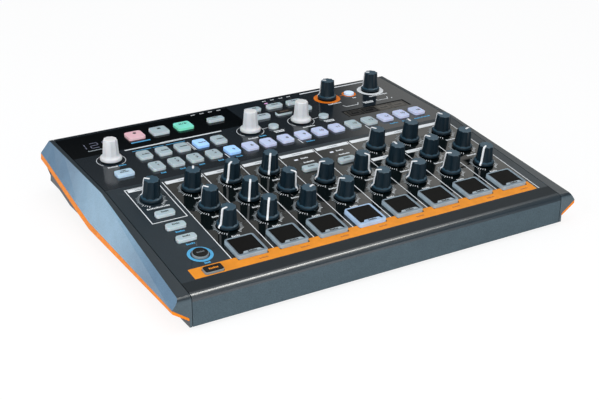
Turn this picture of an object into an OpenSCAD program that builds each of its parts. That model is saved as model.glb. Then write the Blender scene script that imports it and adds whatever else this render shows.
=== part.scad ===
// Compact analogue drum machine.
// A bent sheet panel stands between two bevelled end cheeks, on a tray with rubber feet. The panel has
// a front plane with the voice knobs and drum pads, and a flatter rear plane with the step keys,
// encoders and transport keys. Sockets leave through the leaning rear wall.
// Millimetres, +Z up, front towards -Y. The origin is the centre of the bounding box, under the feet.

/* [Case] */
// Width over the tips of the end cheeks
case_w = 316; // [310:1:340]
// Level depth of the front plane, from the front face to the bend in the panel
front_run = 131.2; // [129:0.1:150]
// Level depth of the rear plane, from the bend to the rear edge
rear_run = 99.8; // [99:0.1:120]
// Height of the case at its front face, without the feet
front_face_h = 20.7; // [19:0.1:30]
// Tilt of the front plane in degrees
front_tilt = 7.31; // [5:0.01:12]
// Tilt of the rear plane in degrees
rear_tilt = 1.77; // [0.5:0.01:5]
// Lean of the rear wall from upright in degrees
rear_lean = 14.2; // [8:0.1:18]
// Thickness of the panel sheet and the rear wall
sheet_t = 2; // [1.2:0.1:2.5]
// Outer radius of the rounded front edge
nose_r = 3.5; // [3:0.1:6]
// Thickness of the tray
tray_t = 1.5; // [1:0.1:2]
// Depth of the flat underside, from the front face to where it starts to rise
flat_run = 200; // [160:1:205]
// Depth of the steep part of the rising underside
rise_run = 21; // [15:1:24]
// Height gained over the steep part of the underside
rise_h = 4.4; // [1:0.1:6]
// Height gained from there to the rear wall
tail_h = 0.6; // [0:0.1:1.5]

/* [End cheeks] */
// Distance from a cheek's inner face to its tip at the front
cheek_reach = 12.9; // [12:0.1:16]
// Distance from a cheek's inner face to its tip at the rear
cheek_reach_rear = 9.4; // [8:0.1:12]
// Width of a cheek's level top at the front
cheek_top_front = 8.3; // [6:0.1:10]
// Width of a cheek's level top at the bend
cheek_top_bend = 2.8; // [2:0.1:5]
// Width of a cheek's level top at the rear
cheek_top_rear = 3.1; // [2:0.1:5]
// Thickness of a cheek's base wall
cheek_wall = 1.7; // [1.2:0.1:2.5]
// Height of a cheek's tip above the case's underside at the front
tip_h = 14.7; // [12:0.1:16]
// Height of the tip above the underside at the rear
tip_h_rear = 31.3; // [26:0.1:34]
// Slope of the undercut from the tip to the base wall
undercut_slope = 0.736; // [0.5:0.001:0.9]
// Seam between a cheek and the panel
seam = 0.5; // [0.3:0.1:1]
// Upright thickness of the coloured trim at the front
trim_t_front = 2.4; // [2:0.1:3]
// Upright thickness of the trim where it starts to rise
trim_t_bend = 6.2; // [3:0.1:7]
// Upright thickness of the trim at the rear
trim_t_rear = 5.2; // [3:0.1:7]

/* [Knobs] */
// Height of a voice knob's top above the panel
knob_h = 15.3; // [13:0.1:20]
// Radius of a voice knob's skirt
skirt_r = 7.3; // [6.5:0.1:8]
// Radius of a voice knob's grip at its foot
grip_r = 5.9; // [5.5:0.1:6.4]
// Radius of a voice knob's top
knob_top_r = 4.8; // [4.5:0.1:5.5]
// Number of ridges round a voice knob
ridges = 9; // [6:1:12]
// Height of the two output knobs above the panel
output_knob_h = 15.8; // [14:0.1:20]
// Height of an encoder cap above the panel
encoder_h = 16.7; // [14:0.1:20]
// Radius of an encoder cap's skirt
encoder_skirt_r = 7.9; // [7:0.1:9]
// Radius of an encoder cap's top
encoder_top_r = 5.1; // [4.5:0.1:5.5]
// Gap between a knob's skirt and the panel
knob_lift = 1; // [0.5:0.1:2]
// Radius of a control's shaft
shaft_r = 3; // [2.5:0.1:3.2]
// Radial clearance of a shaft in its bore
shaft_fit = 0.05; // [0.02:0.01:0.1]

/* [Voice panel] */
// Place of the first voice's knobs across the panel
voice_x = -89.5; // [-91:0.1:-88]
// Pitch of the eight voices
voice_pitch = 30.22; // [30:0.01:31]
// Distance of the first row of knobs in front of the bend
row1_s = 19.5; // [18:0.1:21]
// Pitch of the three rows of knobs
row_pitch = 26.15; // [25:0.05:27]
// Place of the left column of knob and keys
left_x = -120.6; // [-122:0.1:-119]

/* [Drum pads] */
// Side of a drum pad
pad_w = 21.3; // [18:0.1:22]
// Height of a pad's frame above the panel
pad_h = 2.7; // [1.5:0.1:4]
// Side of the dark inset of a pad
inset_w = 18.6; // [15:0.1:18.8]
// Distance of the pad centres in front of the bend
pad_s = 98.8; // [98:0.1:101]
// Travel of a pad
pad_travel = 1.5; // [0.5:0.1:2]

/* [Keys] */
// Height of the large keys above the panel
key_h = 2.3; // [1.5:0.1:4]
// Height of the small keys above the panel
small_key_h = 2.4; // [1.5:0.1:4]
// Travel of a key
key_travel = 1.2; // [0.5:0.1:1.6]
// Gap between a key or pad and the edge of its hole
key_gap = 0.3; // [0.2:0.05:0.5]
// Place of the first step key across the panel
step_x = -98; // [-99:0.1:-97]
// Pitch of the step keys and the mode keys
step_pitch = 14.97; // [14.8:0.01:15]
// Distance of the step keys behind the bend
step_s = 20.4; // [19:0.1:21]
// Distance of the mode keys behind the bend
mode_s = 41.7; // [40:0.1:42]
// Distance of the transport keys behind the bend
transport_s = 77.6; // [76:0.1:78]

/* [Inside] */
// Depth of the control boards' tops below the panel
board_depth = 9; // [8.8:0.1:9.6]
// Thickness of the control boards
board_t = 1.6; // [1:0.1:2]
// Side of a control's body under the panel
pot_w = 11; // [9:0.1:12]

/* [Rear sockets] */
// Height of the sockets' centres above the resting surface
socket_z = 20; // [19:0.1:22]
// Length of a large socket's neck outside the rear wall
neck_out = 6.15; // [4:0.05:8]
// Bore radius of a large socket, for a 6.35 mm plug
big_bore_r = 3.2; // [3.18:0.01:3.3]
// Bore radius of a small socket, for a 3.5 mm plug
small_bore_r = 1.8; // [1.75:0.01:1.9]
// Travel of the power button
power_travel = 2; // [1:0.1:3]

/* [Feet and screws] */
// Height of the rubber feet
foot_h = 2.5; // [1.5:0.1:5]
// Radius of the rubber feet
foot_r = 9; // [6:0.5:12]
// Radius of a screw's shank
screw_r = 1.5; // [1:0.1:2]

/* [Hidden] */
$fn = 48;

// Case outline. s is a distance along the panel from its bend: negative in front, positive behind.
bend_z = foot_h + front_face_h + front_run * tan(front_tilt);
rear_z = bend_z + rear_run * tan(rear_tilt);
neck_r = 4.8;
reach_behind = (rear_z - socket_z) * tan(rear_lean) + neck_out * cos(rear_lean) + neck_r * sin(rear_lean);
front_y = -(front_run + rear_run + reach_behind) / 2;
bend_y = front_y + front_run;
rear_y = bend_y + rear_run;
cheek_x = case_w / 2 - cheek_reach;
sheet_x = cheek_x - seam;
wall_fit = 0.2;
eps = 0.01;
// Places across the case are drawn for this half width of the sheet, and follow the real one
drawn_half = 144.6;
spread = sheet_x / drawn_half;

// Height of the panel's outer face at y, without the rounded front edge
function panel_z(y) = bend_z + (y - bend_y) * tan(y < bend_y ? front_tilt : rear_tilt);
// Place of the rear wall's outer face at height z
function rear_wall_y(z) = rear_y + (rear_z - z) * tan(rear_lean);
// Height of the underside at y
rise_y = front_y + flat_run;
tail_y = rise_y + rise_run;
function under_z(y) = foot_h + (y < rise_y ? 0 : y < tail_y ? rise_h * (y - rise_y) / rise_run
    : rise_h + tail_h * (y - tail_y) / (rear_wall_y(foot_h) - tail_y));
// Value at y on the straight line from [y0, v0] to [y1, v1]
function between(y, y0, v0, y1, v1) = v0 + (v1 - v0) * (y - y0) / (y1 - y0);

// Centre of the rounded front edge, and the outline of the sheet's face that lies d below the outer one
nose_y = front_y + nose_r;
nose_z = panel_z(nose_y) - nose_r / cos(front_tilt);
nose_steps = 10;
function nose_angle(i) = 180 - i * (90 - front_tilt) / nose_steps;
function arc_point(r, a) = [nose_y + r * cos(a), nose_z + r * sin(a)];
function bend_point(d) =
    let (m = 90 + (front_tilt + rear_tilt) / 2, k = d / cos((front_tilt - rear_tilt) / 2))
    [bend_y - k * cos(m), bend_z - k * sin(m)];
function rear_point(d) =
    let (drop = d / (cos(rear_tilt) * (1 + tan(rear_tilt) * tan(rear_lean))))
    [rear_y + drop * tan(rear_lean), rear_z - drop];
function sheet_line(d) = concat(
    [[front_y + d, foot_h]],
    [for (i = [0:nose_steps]) arc_point(nose_r - d, nose_angle(i))],
    [bend_point(d), rear_point(d)]);
function reversed(list) = [for (i = [len(list) - 1:-1:0]) list[i]];

// Extrudes an outline drawn in [y, z] over x from x0 to x1
module across(x0, x1) {
    translate([x0, 0, 0]) rotate([90, 0, 90]) linear_extrude(x1 - x0) children();
}
module both_sides() {
    children();
    mirror([1, 0, 0]) children();
}
// Places children on the panel at [x, s], with z along the panel's outward normal
module on_panel(site) {
    translate([0, bend_y, bend_z])
        rotate([site.y < 0 ? front_tilt : rear_tilt, 0, 0])
            translate([site.x * spread, site.y, 0]) children();
}
// Places children on the rear wall at x and height z, with z along the wall's outward normal
module on_rear_wall(x, z) {
    translate([x, rear_wall_y(z), z]) rotate([-90 + rear_lean, 0, 0]) children();
}

// Rectangle w by l with corners of radius r, as an outline of points
corner_steps = 4;
function rounded(w, l, r) = [
    for (q = [[1, 1, 0], [-1, 1, 90], [-1, -1, 180], [1, -1, 270]])
        for (i = [0:corner_steps])
            let (a = q.z + i * 90 / corner_steps)
            [q.x * (w / 2 - r) + r * cos(a), q.y * (l / 2 - r) + r * sin(a)]];
module plate(w, l, r, z0, z1) {
    translate([0, 0, z0]) linear_extrude(z1 - z0) polygon(rounded(w, l, r));
}
module box(x0, x1, y0, y1, z0, z1) {
    translate([x0, y0, z0]) cube([x1 - x0, y1 - y0, z1 - z0]);
}

// Sites of the controls, as [x, s]
function voice_site(voice, row) = [voice_x + voice * voice_pitch, -row1_s - row * row_pitch];
two_knob_voices = [3, 4];
function has_knob(voice, row) = row > 0 || len(search(voice, two_knob_voices)) == 0;
voice_sites = [for (voice = [0:7], row = [0:2]) if (has_knob(voice, row)) voice_site(voice, row)];
metronome_site = [left_x - 0.3, -21.5];
drive_site = [78.8, 77.2];
volume_site = [120.4, 76.7];
pot_sites = concat(voice_sites, [metronome_site, drive_site, volume_site]);
tempo_site = [-121.6, 46];
swing_site = [-8.6, 46.5];
random_site = [35.5, 45.7];
encoder_sites = [tempo_site, swing_site, random_site];
rotary_sites = concat(pot_sites, encoder_sites);

pad_shift = -1;
function pad_site(i) = [voice_x + i * voice_pitch + pad_shift, -pad_s];
pad_sites = [for (i = [0:7]) pad_site(i)];

// Key sizes as [width, length, corner radius, height above the panel]
step_size = [9.7, 12.6, 1.5, key_h];
transport_size = [13.1, 12.7, 1.5, key_h];
small_size = [13.3, 6.3, 1.5, small_key_h];
sync_size = [13.4, 6.3, 1.5, small_key_h];
tap_size = [12.7, 8.9, 1.6, small_key_h];
front_size = [13.6, 6.1, 1.4, small_key_h];
colour_size = [13, 6.8, 1.6, small_key_h - 0.5];
round_key_r = 3.9;
lit_key_r = 4.1;
shift_key_r = 5.4;

step_sites = [for (i = [0:15]) [step_x + i * step_pitch, step_s]];
mode_sites = [for (i = [0:4]) [step_x + i * step_pitch, mode_s]];
record_site = [-89.8, transport_s];
stop_site = [-70, transport_s];
play_site = [-49.8, transport_s];
transport_sites = [record_site, stop_site, play_site];
sync_site = [-22.4, transport_s + 0.3];
small_sites = [for (s = [66, 81.1], x = [12, 31.5, 49.7]) [x, s]];
tap_site = [-122.7, 19.9];
round_sites = [[10.6, 45.3], [55.5, 45.2]];
lit_key_site = [100, 77.5];
type_sites = [for (voice = two_knob_voices) [voice_x + voice * voice_pitch - 1.1, -28]];
left_sites = [for (s = [42, 58.6, 74.3]) [left_x - 0.2, -s]];
shift_site = [left_x + 0.4, -93.7];
colour_site = [left_x, -112.4];

// Small parts on the panel
led_w = 2.8;
led_l = 1.5;
led_fit = 0.1;
type_led_sites = [for (voice = two_knob_voices, p = [[-4.4, -13], [-4, -19.3]])
    [voice_x + voice * voice_pitch + p.x, p.y]];
row_led_sites = [for (i = [0:3]) [29.6 + i * 7.6, 90.5]];
led_sites = concat(type_led_sites, row_led_sites);
strip_x0 = 73.6 * spread;
strip_x1 = 132.3 * spread;
strip_s0 = 34.8;
strip_s1 = 47.7;
strip_t = 1.1;
strip_sink = 0.3;
strip_zones = 4;
window_x1 = -3 * spread;
window_s0 = 59.4;
window_s1 = 96.3;
window_t = 0.8;
window_fit = 0.1;
digits_site = [-124.3, 76];
digits_w = 17;
digits_l = 10;

// Under the panel: keys have a collar that stops them against the sheet
key_collar = 1;
collar_top = -sheet_t - key_gap;
collar_bottom = collar_top - key_collar;
shaft_hole_r = shaft_r + 0.8;
neck_wall = 0.5;
board_x = sheet_x - 6.6;
board_bottom = -board_depth - board_t;

// Cuts the holes for keys of one size at all the sites in a list
module key_holes(sites, size) {
    for (site = sites) on_panel(site)
        plate(size.x + 2 * key_gap, size.y + 2 * key_gap, size.z + key_gap, -sheet_t - 1, 1);
}
module round_hole(site, r) {
    on_panel(site) translate([0, 0, -sheet_t - 1]) cylinder(r = r, h = sheet_t + 2);
}

// Screw places: cheek screws as distances behind the front face, others as [x, y] or heights
cheek_screw_y = [for (run = [26, front_run, front_run + rear_run - 11.8]) front_y + run];
cheek_screw_drop = 9;
flange_h = 14;
flange_t = 1.5;
flange_y0 = front_y + 8;
flange_y1 = rear_y - 6;
flange_x = sheet_x - flange_t;
tray_wall_x = flange_x - wall_fit;
foot_sites = [for (x = [-1, 1], y = [front_y + 20, rise_y - 14]) [x * (sheet_x - 22), y]];
rear_screw_x = sheet_x - flange_t - tray_t - 5;
rear_screw_z = [foot_h + 10, foot_h + 27];
ear_t = 4;

module top_panel() {
    color([0.22, 0.25, 0.28])
        difference() {
            union() {
                across(-sheet_x, sheet_x)
                    polygon(concat(sheet_line(0), reversed(sheet_line(sheet_t))));
                both_sides() side_flange();
            }
            for (site = rotary_sites) round_hole(site, shaft_hole_r);
            key_holes(pad_sites, [pad_w, pad_w, 2]);
            key_holes(step_sites, step_size);
            key_holes(mode_sites, step_size);
            key_holes(transport_sites, transport_size);
            key_holes(small_sites, small_size);
            key_holes([sync_site], sync_size);
            key_holes([tap_site], tap_size);
            key_holes(concat(type_sites, left_sites), front_size);
            key_holes([colour_site], colour_size);
            for (site = round_sites) round_hole(site, round_key_r + key_gap);
            round_hole(lit_key_site, lit_key_r + key_gap);
            round_hole(shift_site, shift_key_r + key_gap);
            for (site = led_sites) on_panel(site)
                box(-led_w / 2 - led_fit, led_w / 2 + led_fit, -led_l / 2 - led_fit, led_l / 2 + led_fit,
                    -sheet_t - 1, 1);
            on_panel([0, window_s0])
                box(-sheet_x - 1, window_x1 + window_fit, -window_fit, window_s1 - window_s0 + window_fit,
                    -window_t, 1);
            on_panel(digits_site)
                box(-digits_w / 2 - 0.3, digits_w / 2 + 0.3, -digits_l / 2 - 0.3, digits_l / 2 + 0.3,
                    -sheet_t - 1, 1);
            on_panel([0, strip_s0])
                box(strip_x0 - window_fit, strip_x1 + window_fit, -window_fit,
                    strip_s1 - strip_s0 + window_fit, -strip_t - strip_sink, 1);
            both_sides() cheek_screws(screw_r + 0.15, 0);
        }
}
// Flange folded down along the panel's end, where the cheek is screwed on
module side_flange() {
    lap = sheet_t / 2;
    top = [for (y = [flange_y0, bend_y, flange_y1]) [y, panel_z(y) - lap]];
    bottom = [for (p = reversed(top)) [p.x, p.y - flange_h]];
    across(flange_x, sheet_x) polygon(concat(top, bottom));
}
// Shanks of the right cheek's screws; head_r over 0 adds their heads inside the tray's wall
module cheek_screws(shank_r, head_r) {
    for (y = cheek_screw_y) translate([tray_wall_x - tray_t, y, panel_z(y) - cheek_screw_drop]) {
        rotate([0, 90, 0]) cylinder(r = shank_r, h = cheek_x + 5 - tray_wall_x + tray_t);
        if (head_r > 0) translate([-1.6, 0, 0]) rotate([0, 90, 0]) cylinder(r = head_r, h = 1.6);
    }
}

module rear_panel() {
    top = rear_point(sheet_t + 0.15);
    foot_y = rear_wall_y(under_z(rear_wall_y(foot_h)));
    foot_z = under_z(foot_y);
    back = sheet_t / cos(rear_lean);
    color([0.2, 0.23, 0.26])
        difference() {
            across(-sheet_x, sheet_x)
                polygon([[rear_wall_y(top.y), top.y], [rear_wall_y(foot_z), foot_z],
                    [rear_wall_y(foot_z) - back, foot_z], [rear_wall_y(top.y) - back, top.y]]);
            for (x = big_jack_x) wall_hole(x, socket_z, neck_r + wall_fit);
            for (x = small_jack_x) wall_hole(x, socket_z, small_neck_r + wall_fit);
            for (x = midi_x) wall_hole(x, midi_z, midi_collar_r + wall_fit);
            wall_hole(dc_x, socket_z, dc_collar_r + wall_fit);
            wall_hole(power_x, socket_z, power_collar_r + wall_fit);
            wall_window(usb_x, socket_z, usb_w + 2 * wall_fit, usb_l + 2 * wall_fit);
            rear_screws(screw_r + 0.15, 0);
        }
}
module wall_hole(x, z, r) {
    on_rear_wall(x, z) translate([0, 0, -sheet_t - 1]) cylinder(r = r, h = sheet_t + 2);
}
module wall_window(x, z, w, l) {
    on_rear_wall(x, z) box(-w / 2, w / 2, -l / 2, l / 2, -sheet_t - 1, 1);
}
// Shanks of the rear wall's screws; head_r over 0 adds their heads outside
module rear_screws(shank_r, head_r) {
    for (side = [-1, 1], z = rear_screw_z) on_rear_wall(side * rear_screw_x, z) {
        translate([0, 0, -sheet_t - ear_t]) cylinder(r = shank_r, h = sheet_t + ear_t + (head_r > 0 ? 0 : 1));
        if (head_r > 0) cylinder(r = head_r, h = 1.4);
    }
}

module bottom_tray() {
    rear_gap = (sheet_t + 0.1) / cos(rear_lean);
    tail = rear_wall_y(under_z(rear_wall_y(foot_h))) - rear_gap;
    front = front_y + sheet_t + wall_fit;
    floor_ys = [front, rise_y, tail_y, tail];
    low = [for (y = floor_ys) [y, under_z(y)]];
    tail_z = under_z(tail) + tray_t;
    floor_top = concat([[rear_wall_y(tail_z) - rear_gap, tail_z]],
        [for (i = [len(low) - 2:-1:0]) [low[i].x, low[i].y + tray_t]]);
    roof = [for (p = sheet_line(sheet_t + wall_fit)) if (p.y > foot_h) p];
    wall_top = roof[len(roof) - 1];
    color([0.25, 0.26, 0.27])
        difference() {
            union() {
                across(-sheet_x, sheet_x) polygon(concat(low, floor_top));
                both_sides() across(tray_wall_x - tray_t, tray_wall_x)
                    polygon(concat(low, [[rear_wall_y(wall_top.y) - rear_gap, wall_top.y]],
                        reversed([for (i = [0:len(roof) - 2]) roof[i]])));
                both_sides() rear_ears(rear_gap);
                for (site = foot_sites) translate([site.x, site.y, foot_h + eps])
                    cylinder(r = screw_r + 2, h = tray_t + 3);
            }
            both_sides() cheek_screws(screw_r + 0.15, 0);
            rear_screws(screw_r + shaft_fit, 0);
            for (site = foot_sites) translate([site.x, site.y, 0])
                cylinder(r = screw_r + shaft_fit, h = foot_h + tray_t + 4);
        }
}
// Block behind the rear wall's end, which takes its screws
module rear_ears(gap) {
    z0 = rear_screw_z[0] - 4;
    z1 = rear_screw_z[1] + 4;
    x0 = rear_screw_x - 4;
    across(x0, tray_wall_x - eps)
        polygon([[rear_wall_y(z0) - gap, z0], [rear_wall_y(z0) - gap - ear_t, z0],
            [rear_wall_y(z1) - gap - ear_t, z1], [rear_wall_y(z1) - gap, z1]]);
}

// Right cheek and trim, lofted over the stations where their lines bend
tip_bend_y = bend_y + 7;
trim_bend_y = bend_y + 26;
tip_bend_h = tip_h + 0.2;
tip_in = 2.1;
under_x = cheek_x + cheek_wall;
cheek_front_y = nose_y + nose_r * sin(-front_tilt);
function top_x(y) = cheek_x + (y < bend_y
    ? between(y, cheek_front_y, cheek_top_front, bend_y, cheek_top_bend)
    : between(y, bend_y, cheek_top_bend, rear_y, cheek_top_rear));
function tip_x(y) = y < tip_bend_y
    ? between(y, front_y, case_w / 2, tip_bend_y, case_w / 2 - tip_in)
    : between(y, tip_bend_y, case_w / 2 - tip_in, rear_y, cheek_x + cheek_reach_rear);
function tip_z(y) = foot_h + (y < tip_bend_y
    ? between(y, front_y, tip_h, tip_bend_y, tip_bend_h)
    : between(y, tip_bend_y, tip_bend_h, rear_y, tip_h_rear));
function trim_t(y) = y < trim_bend_y
    ? between(y, front_y, trim_t_front, trim_bend_y, trim_t_bend)
    : between(y, trim_bend_y, trim_t_bend, rear_y, trim_t_rear);
function cheek_z(y) = y < cheek_front_y
    ? nose_z + sqrt(max(0, nose_r * nose_r - pow(y - nose_y, 2))) : panel_z(y);
// Outer edge of the cheek's top, which runs down the bevel at the rounded front edge
function edge_x(y) = y >= cheek_front_y ? top_x(y)
    : between(cheek_z(y), panel_z(cheek_front_y), top_x(cheek_front_y), tip_z(y), tip_x(y));
function undercut_z(y) = tip_z(y) - undercut_slope * (tip_x(y) - under_x);
// Moves a point of the last station back onto the leaning rear wall
function leaned(p) = [p.x, rear_wall_y(p.z), p.z];
function cheek_section(y) = [
    [cheek_x, y, cheek_z(y)], [edge_x(y), y, cheek_z(y)], [tip_x(y), y, tip_z(y)],
    [under_x, y, undercut_z(y)], [under_x, y, under_z(y)], [cheek_x, y, under_z(y)]];
trim_fit = 0.05;
trim_inner = 0.75;
function trim_section(y) =
    let (z = tip_z(y) - trim_fit, x = under_x + trim_fit,
        inner_z = z - undercut_slope * (tip_x(y) - x))
    [[tip_x(y), y, z], [tip_x(y), y, z - trim_t(y)],
        [x, y, inner_z - trim_inner * trim_t(y)], [x, y, inner_z]];
nose_ys = [for (i = [0:nose_steps]) nose_y + nose_r * cos(nose_angle(i))];
cheek_ys = concat(nose_ys, [bend_y, tip_bend_y, trim_bend_y, rise_y, tail_y]);
trim_ys = [front_y, bend_y, tip_bend_y, trim_bend_y, rise_y, tail_y];

// Closed solid through a list of sections with as many points each
module loft(sections) {
    n = len(sections[0]);
    m = len(sections);
    points = [for (section = sections, p = section) p];
    sides = [for (k = [0:m - 2], i = [0:n - 1])
        let (j = (i + 1) % n, a = k * n + i, b = k * n + j)
        each [[a, a + n, b], [b, a + n, b + n]]];
    caps = [[for (i = [0:n - 1]) i], [for (i = [n - 1:-1:0]) (m - 1) * n + i]];
    polyhedron(points, concat(sides, caps));
}
module right_cheek() {
    color([0.42, 0.53, 0.62])
        difference() {
            union() {
                loft(concat([for (y = cheek_ys) cheek_section(y)],
                    [[for (p = cheek_section(rear_y)) leaned(p)]]));
                for (y = cheek_screw_y) translate([sheet_x, y, panel_z(y) - cheek_screw_drop])
                    rotate([0, 90, 0]) cylinder(r = 3.5, h = seam + 1);
            }
            cheek_screws(screw_r + shaft_fit, 0);
        }
}
module left_cheek() {
    mirror([1, 0, 0]) right_cheek();
}
module side_trims() {
    color([0.94, 0.55, 0.18])
        both_sides() loft(concat([for (y = trim_ys) trim_section(y)],
            [[for (p = trim_section(rear_y)) leaned(p)]]));
}

module display_window() {
    color([0.02, 0.02, 0.03])
        difference() {
            on_panel([0, window_s0])
                box(-sheet_x, window_x1, 0, window_s1 - window_s0, -window_t, 0);
            key_holes(transport_sites, transport_size);
            key_holes([sync_site], sync_size);
        }
}
module touch_strip() {
    groove = 0.5;
    pitch = (strip_x1 - strip_x0) / strip_zones;
    color([0.25, 0.25, 0.25])
        on_panel([0, strip_s0]) translate([strip_x0, 0, 0])
            difference() {
                box(0, strip_x1 - strip_x0, 0, strip_s1 - strip_s0, -strip_t - strip_sink, -strip_sink);
                for (i = [1:strip_zones - 1])
                    box(i * pitch - groove / 2, i * pitch + groove / 2, -1, strip_s1 - strip_s0 + 1,
                        -strip_sink - 0.3, 1);
            }
}
module led_lenses() {
    color([0.9, 0.9, 0.95])
        for (site = led_sites) on_panel(site)
            box(-led_w / 2, led_w / 2, -led_l / 2, led_l / 2, -board_depth, 0.05);
}

// Boards under both planes, with a switch under each key and pad, the digit display and spacers
front_board_s = [-117, -6];
rear_board_s = [6, 95];
spacer_sites = [for (voice = [-0.5, 3.5, 6.5], s = [33, 84]) [voice_x + voice * voice_pitch, -s]];
rear_spacer_sites = [for (x = [-60.4, 19.2, 108], s = [31, 91]) [x, s]];
module control_boards() {
    switch_top = collar_bottom - key_travel - 0.3;
    pad_switch_top = collar_bottom - pad_travel - 0.3;
    color([0.08, 0.3, 0.16]) {
        board(front_board_s);
        board(rear_board_s);
        for (site = concat(step_sites, mode_sites, transport_sites, small_sites, round_sites, type_sites,
            left_sites, [sync_site, tap_site, lit_key_site, shift_site, colour_site]))
            on_panel(site) switch(switch_top);
        for (site = pad_sites) on_panel(site) switch(pad_switch_top);
        on_panel(digits_site)
            box(-digits_w / 2, digits_w / 2, -digits_l / 2, digits_l / 2, -board_depth, -window_t - 0.1);
        for (site = concat(spacer_sites, rear_spacer_sites)) on_panel(site)
            translate([0, 0, -board_depth]) cylinder(r = 2.4, h = board_depth - sheet_t);
    }
}
module board(s) {
    on_panel([0, s[0]]) box(-board_x, board_x, 0, s[1] - s[0], board_bottom, -board_depth);
}
module switch(top) {
    box(-2.6, 2.6, -2.6, 2.6, -board_depth, -board_depth + 2.6);
    translate([0, 0, -board_depth + 2.6 - eps]) cylinder(r = 1.6, h = top + board_depth - 2.6 + eps);
}

// Potentiometer and encoder bodies on the boards, each with a bore for its shaft
shaft_foot = -board_depth + 0.6;
module rotary_bodies() {
    neck_top = -sheet_t + 1;
    color([0.3, 0.32, 0.3])
        for (site = rotary_sites) on_panel(site)
            difference() {
                union() {
                    box(-pot_w / 2, pot_w / 2, -pot_w / 2, pot_w / 2, -board_depth, -sheet_t - 0.8);
                    translate([0, 0, -sheet_t - 0.8 - eps])
                        cylinder(r = shaft_r + neck_wall, h = neck_top + sheet_t + 0.8 + eps);
                }
                translate([0, 0, shaft_foot - 0.3])
                    cylinder(r = shaft_r + shaft_fit, h = neck_top - shaft_foot + 1);
            }
}
// Shaft of a rotary control: round in its body, with a flat where the cap sits
cap_bore_top = 9;
module shaft() {
    flat = shaft_r / 2;
    difference() {
        translate([0, 0, shaft_foot]) cylinder(r = shaft_r, h = cap_bore_top - 0.2 - shaft_foot);
        box(-5, 5, flat, 5, knob_lift - 0.4, 20);
    }
}
// Bore of a cap for the shaft
module shaft_bore() {
    flat = shaft_r / 2 + shaft_fit;
    difference() {
        translate([0, 0, knob_lift - 1]) cylinder(r = shaft_r + shaft_fit, h = cap_bore_top - knob_lift + 1);
        box(-5, 5, flat, 5, -5, 20);
    }
}
// Fluted cap with a skirt and a raised pointer; angle is clockwise from the rear, seen from above
skirt_h = 1.6;
neck_h = 4.4;
flute = 0.5;
module pot_knob(site, angle, h = knob_h) {
    star = [for (i = [0:2 * ridges - 1])
        let (r = i % 2 == 0 ? grip_r : grip_r - flute, a = i * 180 / ridges)
        [r * sin(a), r * cos(a)]];
    foot = neck_h - 0.8;
    skirt_arc = [for (a = [0:18:90])
        [grip_r - 0.3 + (skirt_r - grip_r + 0.3) * (1 - sin(a)),
            knob_lift + skirt_h + (neck_h - knob_lift - skirt_h) * (1 - cos(a))]];
    color([0.11, 0.18, 0.23])
        on_panel(site) rotate([0, 0, -angle]) {
            difference() {
                union() {
                    rotate_extrude() polygon(concat([[0, knob_lift], [skirt_r, knob_lift]], skirt_arc,
                        [[0, neck_h]]));
                    translate([0, 0, foot])
                        linear_extrude(h - foot, scale = knob_top_r / grip_r) polygon(star);
                    box(-0.5, 0.5, 0, knob_top_r - 0.2, h - 0.5, h + 0.2);
                }
                shaft_bore();
            }
            shaft();
        }
}
module encoder(site) {
    skirt_top = knob_lift + 1.8;
    body_foot = knob_lift + 3.8;
    body_r = encoder_top_r + 0.8;
    arc = [for (a = [0:15:90])
        [body_r + (encoder_skirt_r - body_r) * (1 - sin(a)),
            skirt_top + (body_foot - skirt_top) * (1 - cos(a))]];
    color([0.9, 0.9, 0.92])
        on_panel(site) {
            difference() {
                rotate_extrude() polygon(concat([[0, knob_lift], [encoder_skirt_r, knob_lift]], arc,
                    [[encoder_top_r, encoder_h - 0.6], [encoder_top_r - 0.6, encoder_h], [0, encoder_h]]));
                shaft_bore();
            }
            shaft();
        }
}

// Rubber pad: a frame with a tab, a dark inset, and a collar under the panel
module pad(i) {
    inset_sink = 0.5;
    inset_fit = 0.05;
    tab_x0 = -6.3;
    tab_x1 = 7.4;
    tab_l = 2.1;
    inset_shift = 0.65;
    color([0.6, 0.66, 0.71])
        on_panel(pad_site(i)) {
            difference() {
                union() {
                    plate(pad_w, pad_w, 2, collar_bottom, pad_h);
                    plate(pad_w + 2, pad_w + 2, 2, collar_bottom, collar_top);
                }
                translate([0, inset_shift, 0]) plate(inset_w, inset_w, 0.8, pad_h - 1.4, pad_h + 1);
            }
            translate([0, inset_shift, 0]) difference() {
                plate(inset_w - 2 * inset_fit, inset_w - 2 * inset_fit, 0.8,
                    pad_h - 1.4 + inset_fit, pad_h - inset_sink);
                box(tab_x0 - 0.1, tab_x1 + 0.1, -inset_w / 2 - 1, -inset_w / 2 + tab_l + 0.1,
                    pad_h - 1.4 - 1, pad_h);
            }
            translate([0, inset_shift, 0])
                box(tab_x0, tab_x1, -inset_w / 2 + 0.05, -inset_w / 2 + tab_l, pad_h - 1.4, pad_h - 0.1);
        }
}
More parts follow.
